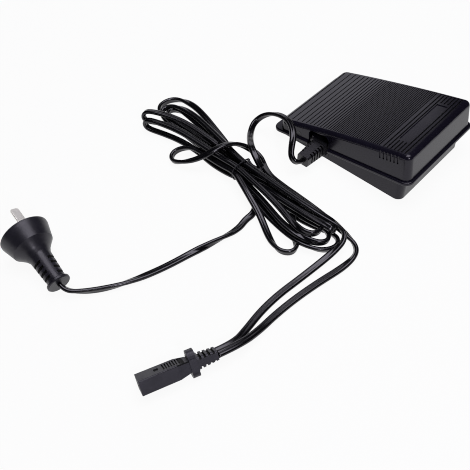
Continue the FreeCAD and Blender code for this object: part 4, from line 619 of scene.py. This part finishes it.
# The tie: one turn of wire round the waist of the hank, its two ends twisted together
def twisted_wire_tree(material):
    """Geometry nodes that wind strands of wire round a path."""
    tree = bpy.data.node_groups.new("twisted_wire", "GeometryNodeTree")
    face = tree.interface
    face.new_socket("Path", in_out="INPUT", socket_type="NodeSocketGeometry")
    for name, kind, value in (
        ("Steps", "NodeSocketInt", 120), ("Wire Radius", "NodeSocketFloat", 0.45 * MM),
        ("Twist Radius", "NodeSocketFloat", 0.0), ("Turns", "NodeSocketFloat", 0.0),
    ):
        face.new_socket(name, in_out="INPUT", socket_type=kind).default_value = value
    face.new_socket("Mesh", in_out="OUTPUT", socket_type="NodeSocketGeometry")
    given = add(tree, "NodeGroupInput")
    path = add(tree, "GeometryNodeMeshToCurve", None, {"Mesh": given.outputs["Path"]})
    even = add(
        tree, "GeometryNodeResampleCurve", None, {"Curve": path.outputs["Curve"], "Count": given.outputs["Steps"]})
    along = add(tree, "GeometryNodeSplineParameter")
    normal = add(tree, "GeometryNodeInputNormal")
    tangent = add(tree, "GeometryNodeInputTangent")
    across = add(
        tree, "ShaderNodeVectorMath", {"operation": "CROSS_PRODUCT"},
        {0: tangent.outputs["Tangent"], 1: normal.outputs["Normal"]})
    turned = add(
        tree, "ShaderNodeMath", {"operation": "MULTIPLY"}, {0: along.outputs["Factor"], 1: given.outputs["Turns"]})
    section = add(
        tree, "GeometryNodeCurvePrimitiveCircle", {"Resolution": 8}, {"Radius": given.outputs["Wire Radius"]})
    both = add(tree, "GeometryNodeJoinGeometry")
    for phase in (0.0, math.pi):
        angle = add(
            tree, "ShaderNodeMath", {"operation": "MULTIPLY_ADD", 1: 2 * math.pi, 2: phase}, {0: turned.outputs[0]})
        sides = []
        for wave, direction in (("COSINE", normal.outputs["Normal"]), ("SINE", across.outputs["Vector"])):
            share = add(tree, "ShaderNodeMath", {"operation": wave}, {0: angle.outputs[0]})
            sides.append(add(
                tree, "ShaderNodeVectorMath", {"operation": "SCALE"}, {0: direction, "Scale": share.outputs[0]}))
        away = add(
            tree, "ShaderNodeVectorMath", {"operation": "ADD"}, {0: sides[0].outputs[0], 1: sides[1].outputs[0]})
        offset = add(
            tree, "ShaderNodeVectorMath", {"operation": "SCALE"},
            {0: away.outputs[0], "Scale": given.outputs["Twist Radius"]})
        strand = add(
            tree, "GeometryNodeSetPosition", None, {"Geometry": even.outputs["Curve"], "Offset": offset.outputs[0]})
        wire = add(
            tree, "GeometryNodeCurveToMesh", {"Fill Caps": True},
            {"Curve": strand.outputs["Geometry"], "Profile Curve": section.outputs["Curve"]})
        tree.links.new(wire.outputs["Mesh"], both.inputs["Geometry"])
    plain = add(tree, "GeometryNodeRealizeInstances", None, {"Geometry": both.outputs["Geometry"]})
    coat = add(tree, "GeometryNodeSetMaterial", {"Material": material}, {"Geometry": plain.outputs["Geometry"]})
    add(tree, "NodeGroupOutput", None, {"Mesh": coat.outputs["Geometry"]})
    return tree


def wound_mesh(tree, line, values):
    """The plain mesh that the tree makes along one line."""
    mesh = bpy.data.meshes.new("path")
    mesh.from_pydata([tuple(p) for p in line], [(i, i + 1) for i in range(len(line) - 1)], [])
    holder = bpy.data.objects.new("path", mesh)
    scene.collection.objects.link(holder)
    wind = holder.modifiers.new("wind", "NODES")
    wind.node_group = tree
    for item in tree.interface.items_tree:
        if item.in_out == "INPUT" and item.name in values:
            wind[item.identifier] = values[item.name]
    bpy.context.view_layer.update()
    made = bpy.data.meshes.new_from_object(holder.evaluated_get(bpy.context.evaluated_depsgraph_get()))
    bpy.data.objects.remove(holder)
    return made


TIE_RING = [
    (-48.8, -99.4, 15.9), (-49.4, -97.0, 13.4), (-50.0, -95.9, 10.4), (-50.3, -95.9, 6.4), (-50.4, -96.4, 2.0),
    (-50.4, -97.6, 0.5), (-50.4, -104.0, 0.45), (-50.4, -110.2, 0.45), (-50.3, -113.4, 1.7), (-50.2, -115.2, 5.0),
    (-50.0, -117.1, 10.4), (-49.8, -115.9, 14.6), (-49.6, -113.2, 16.8), (-49.4, -108.4, 16.6), (-49.0, -104.2, 16.8),
    (-48.8, -101.2, 16.6), (-48.4, -99.0, 15.7),
]
TIE_ENDS = [
    (-48.9, -100.0, 15.9), (-47.0, -99.9, 14.6), (-44.0, -100.0, 12.9), (-40.4, -100.0, 12.0), (-36.8, -100.0, 11.6),
]
tie_tree = twisted_wire_tree(coated_wire)
tie_parts = [
    wound_mesh(tie_tree, route_line(TIE_RING), {"Steps": 120, "Wire Radius": 0.55 * MM}),
    wound_mesh(
        tie_tree, route_line(TIE_ENDS),
        {"Steps": 70, "Wire Radius": 0.5 * MM, "Twist Radius": 0.55 * MM, "Turns": 4.5}),
]
joined = bmesh.new()
for part in tie_parts:
    joined.from_mesh(part)
bmesh.ops.recalc_face_normals(joined, faces=joined.faces)
for face in joined.faces:
    face.smooth = True
tie_mesh = bpy.data.meshes.new("cord_tie_wire")
joined.to_mesh(tie_mesh)
joined.free()
tie_mesh.materials.append(coated_wire)
tie = bpy.data.objects.new("cord_tie_wire", tie_mesh)
scene.collection.objects.link(tie)
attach(tie, "pedal_base")
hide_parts("cord_tie")

# The treadle's cover. Its grooves lie a little under the long arc of the tread, which is given in the cover's own
# frame: that one is tilted up from the cover's low corner
cover = own_surface("treadle_cover", "treadle_cover_moulding", polished_abs, "treadle")
COVER_CORNER = (-66.23 * MM, 2.98 * MM)
COVER_TILT = math.radians(8.46)
ARC_LOW = np.array((8.67, 11.83)) * MM
ARC_HIGH = np.array((130.95, 25.59)) * MM
ARC_CROWN = 1.2 * MM
GROOVES_FROM, GROOVES_TO, GROOVE_REACH = 10.6 * MM, 125.6 * MM, 41.35 * MM
GROOVE_SKIN, GROOVE_DEPTH = 0.12 * MM, 0.8 * MM
RECESS_FROM, RECESS_TO, RECESS_HALF = 110.1 * MM, 119.9 * MM, 27.2 * MM
chord = np.linalg.norm(ARC_HIGH - ARC_LOW)
arc_radius = (chord / 2) ** 2 / (2 * ARC_CROWN) + ARC_CROWN / 2
arc_down = np.array((ARC_HIGH[1] - ARC_LOW[1], ARC_LOW[0] - ARC_HIGH[0])) / chord
arc_centre = (ARC_LOW + ARC_HIGH) / 2 + arc_down * (arc_radius - ARC_CROWN)


def in_groove(centre, normal):
    x = centre[0] - COVER_CORNER[0]
    z = centre[2] - COVER_CORNER[1]
    own_x = x * math.cos(COVER_TILT) + z * math.sin(COVER_TILT)
    own_z = z * math.cos(COVER_TILT) - x * math.sin(COVER_TILT)
    side = abs(centre[1])
    if RECESS_FROM < own_x < RECESS_TO and side < RECESS_HALF:
        return False
    depth = arc_radius - math.hypot(own_x - arc_centre[0], own_z - arc_centre[1])
    return GROOVES_FROM < own_x < GROOVES_TO and side < GROOVE_REACH and GROOVE_SKIN < depth < GROOVE_DEPTH


# Painted shade: the walls and floors of the grooves get the darker matt material
paint_shade_on_faces(cover, painted_shade_abs, in_groove)

# The strain relief at the pedal, with its slots on both sides of a web, in millimetres
BOOT_X = -18.8
BOOT_SLOTS = (-66.7, -48.2)
BOOT_WEB = 3.1
boot = own_surface("cord_boot", "cord_boot_moulding", soft_pvc, "pedal_base")


def in_boot_slot(centre, normal):
    out = abs(centre[0] / MM - BOOT_X)
    wall = abs(normal[1]) > 0.9 and out > BOOT_WEB - 0.1
    web = abs(normal[0]) > 0.9 and abs(out - BOOT_WEB) < 0.1
    return BOOT_SLOTS[0] < centre[1] / MM < BOOT_SLOTS[1] and (wall or web)


# Painted shade: the walls of the slots and the web between them get the darker matt material
paint_shade_on_faces(boot, painted_shade_abs, in_boot_slot)

# The spring under the treadle, as a crisp copy of its node with its transform baked into the mesh
spring = crisp_copy("return_spring", "return_spring_coil", zinc_steel, 70.0)
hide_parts("return_spring")
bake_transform(spring)

# Materials of the nodes. Those of the cords, which aren't listed, are sheath like their cords
FINISH = {
    "treadle_cover": polished_abs, "base_tray": moulded_abs, "cord_boot": soft_pvc, "plug_body": satin_pvc,
    "plug_face": satin_pvc, "plug_blades": nickel_plate, "connector_body": textured_pvc,
    "connector_contacts": bare_brass, "hinge_pins": blackened_steel, "pin_clips": zinc_steel,
    "return_spring": zinc_steel, "rubber_feet": moulded_rubber, "stop_bumpers": moulded_rubber,
    "cord_tie": coated_wire, "cord_inner_end": extruded_pvc, "cord_clamp": moulded_nylon,
    "cord_clamp_screws": zinc_steel, "lead_wires": brown_pvc, "pot_wires": blue_pvc,
    "circuit_board": phenolic_laminate, "board_screws": zinc_steel, "insulation_sheet": pressed_card,
    "terminal_block": moulded_nylon, "triac": moulded_epoxy, "heat_sink": drawn_aluminium,
    "suppression_capacitor": dipped_epoxy, "timing_capacitor": shrunk_vinyl, "choke_core": sintered_ferrite,
    "choke_winding": enamelled_copper, "resistors": dipped_lacquer, "slide_potentiometer": zinc_steel,
    "wiper": moulded_acetal,
}
for name, obj in NODES.items():
    obj.data.materials.clear()
    obj.data.materials.append(FINISH.get(name, extruded_pvc))
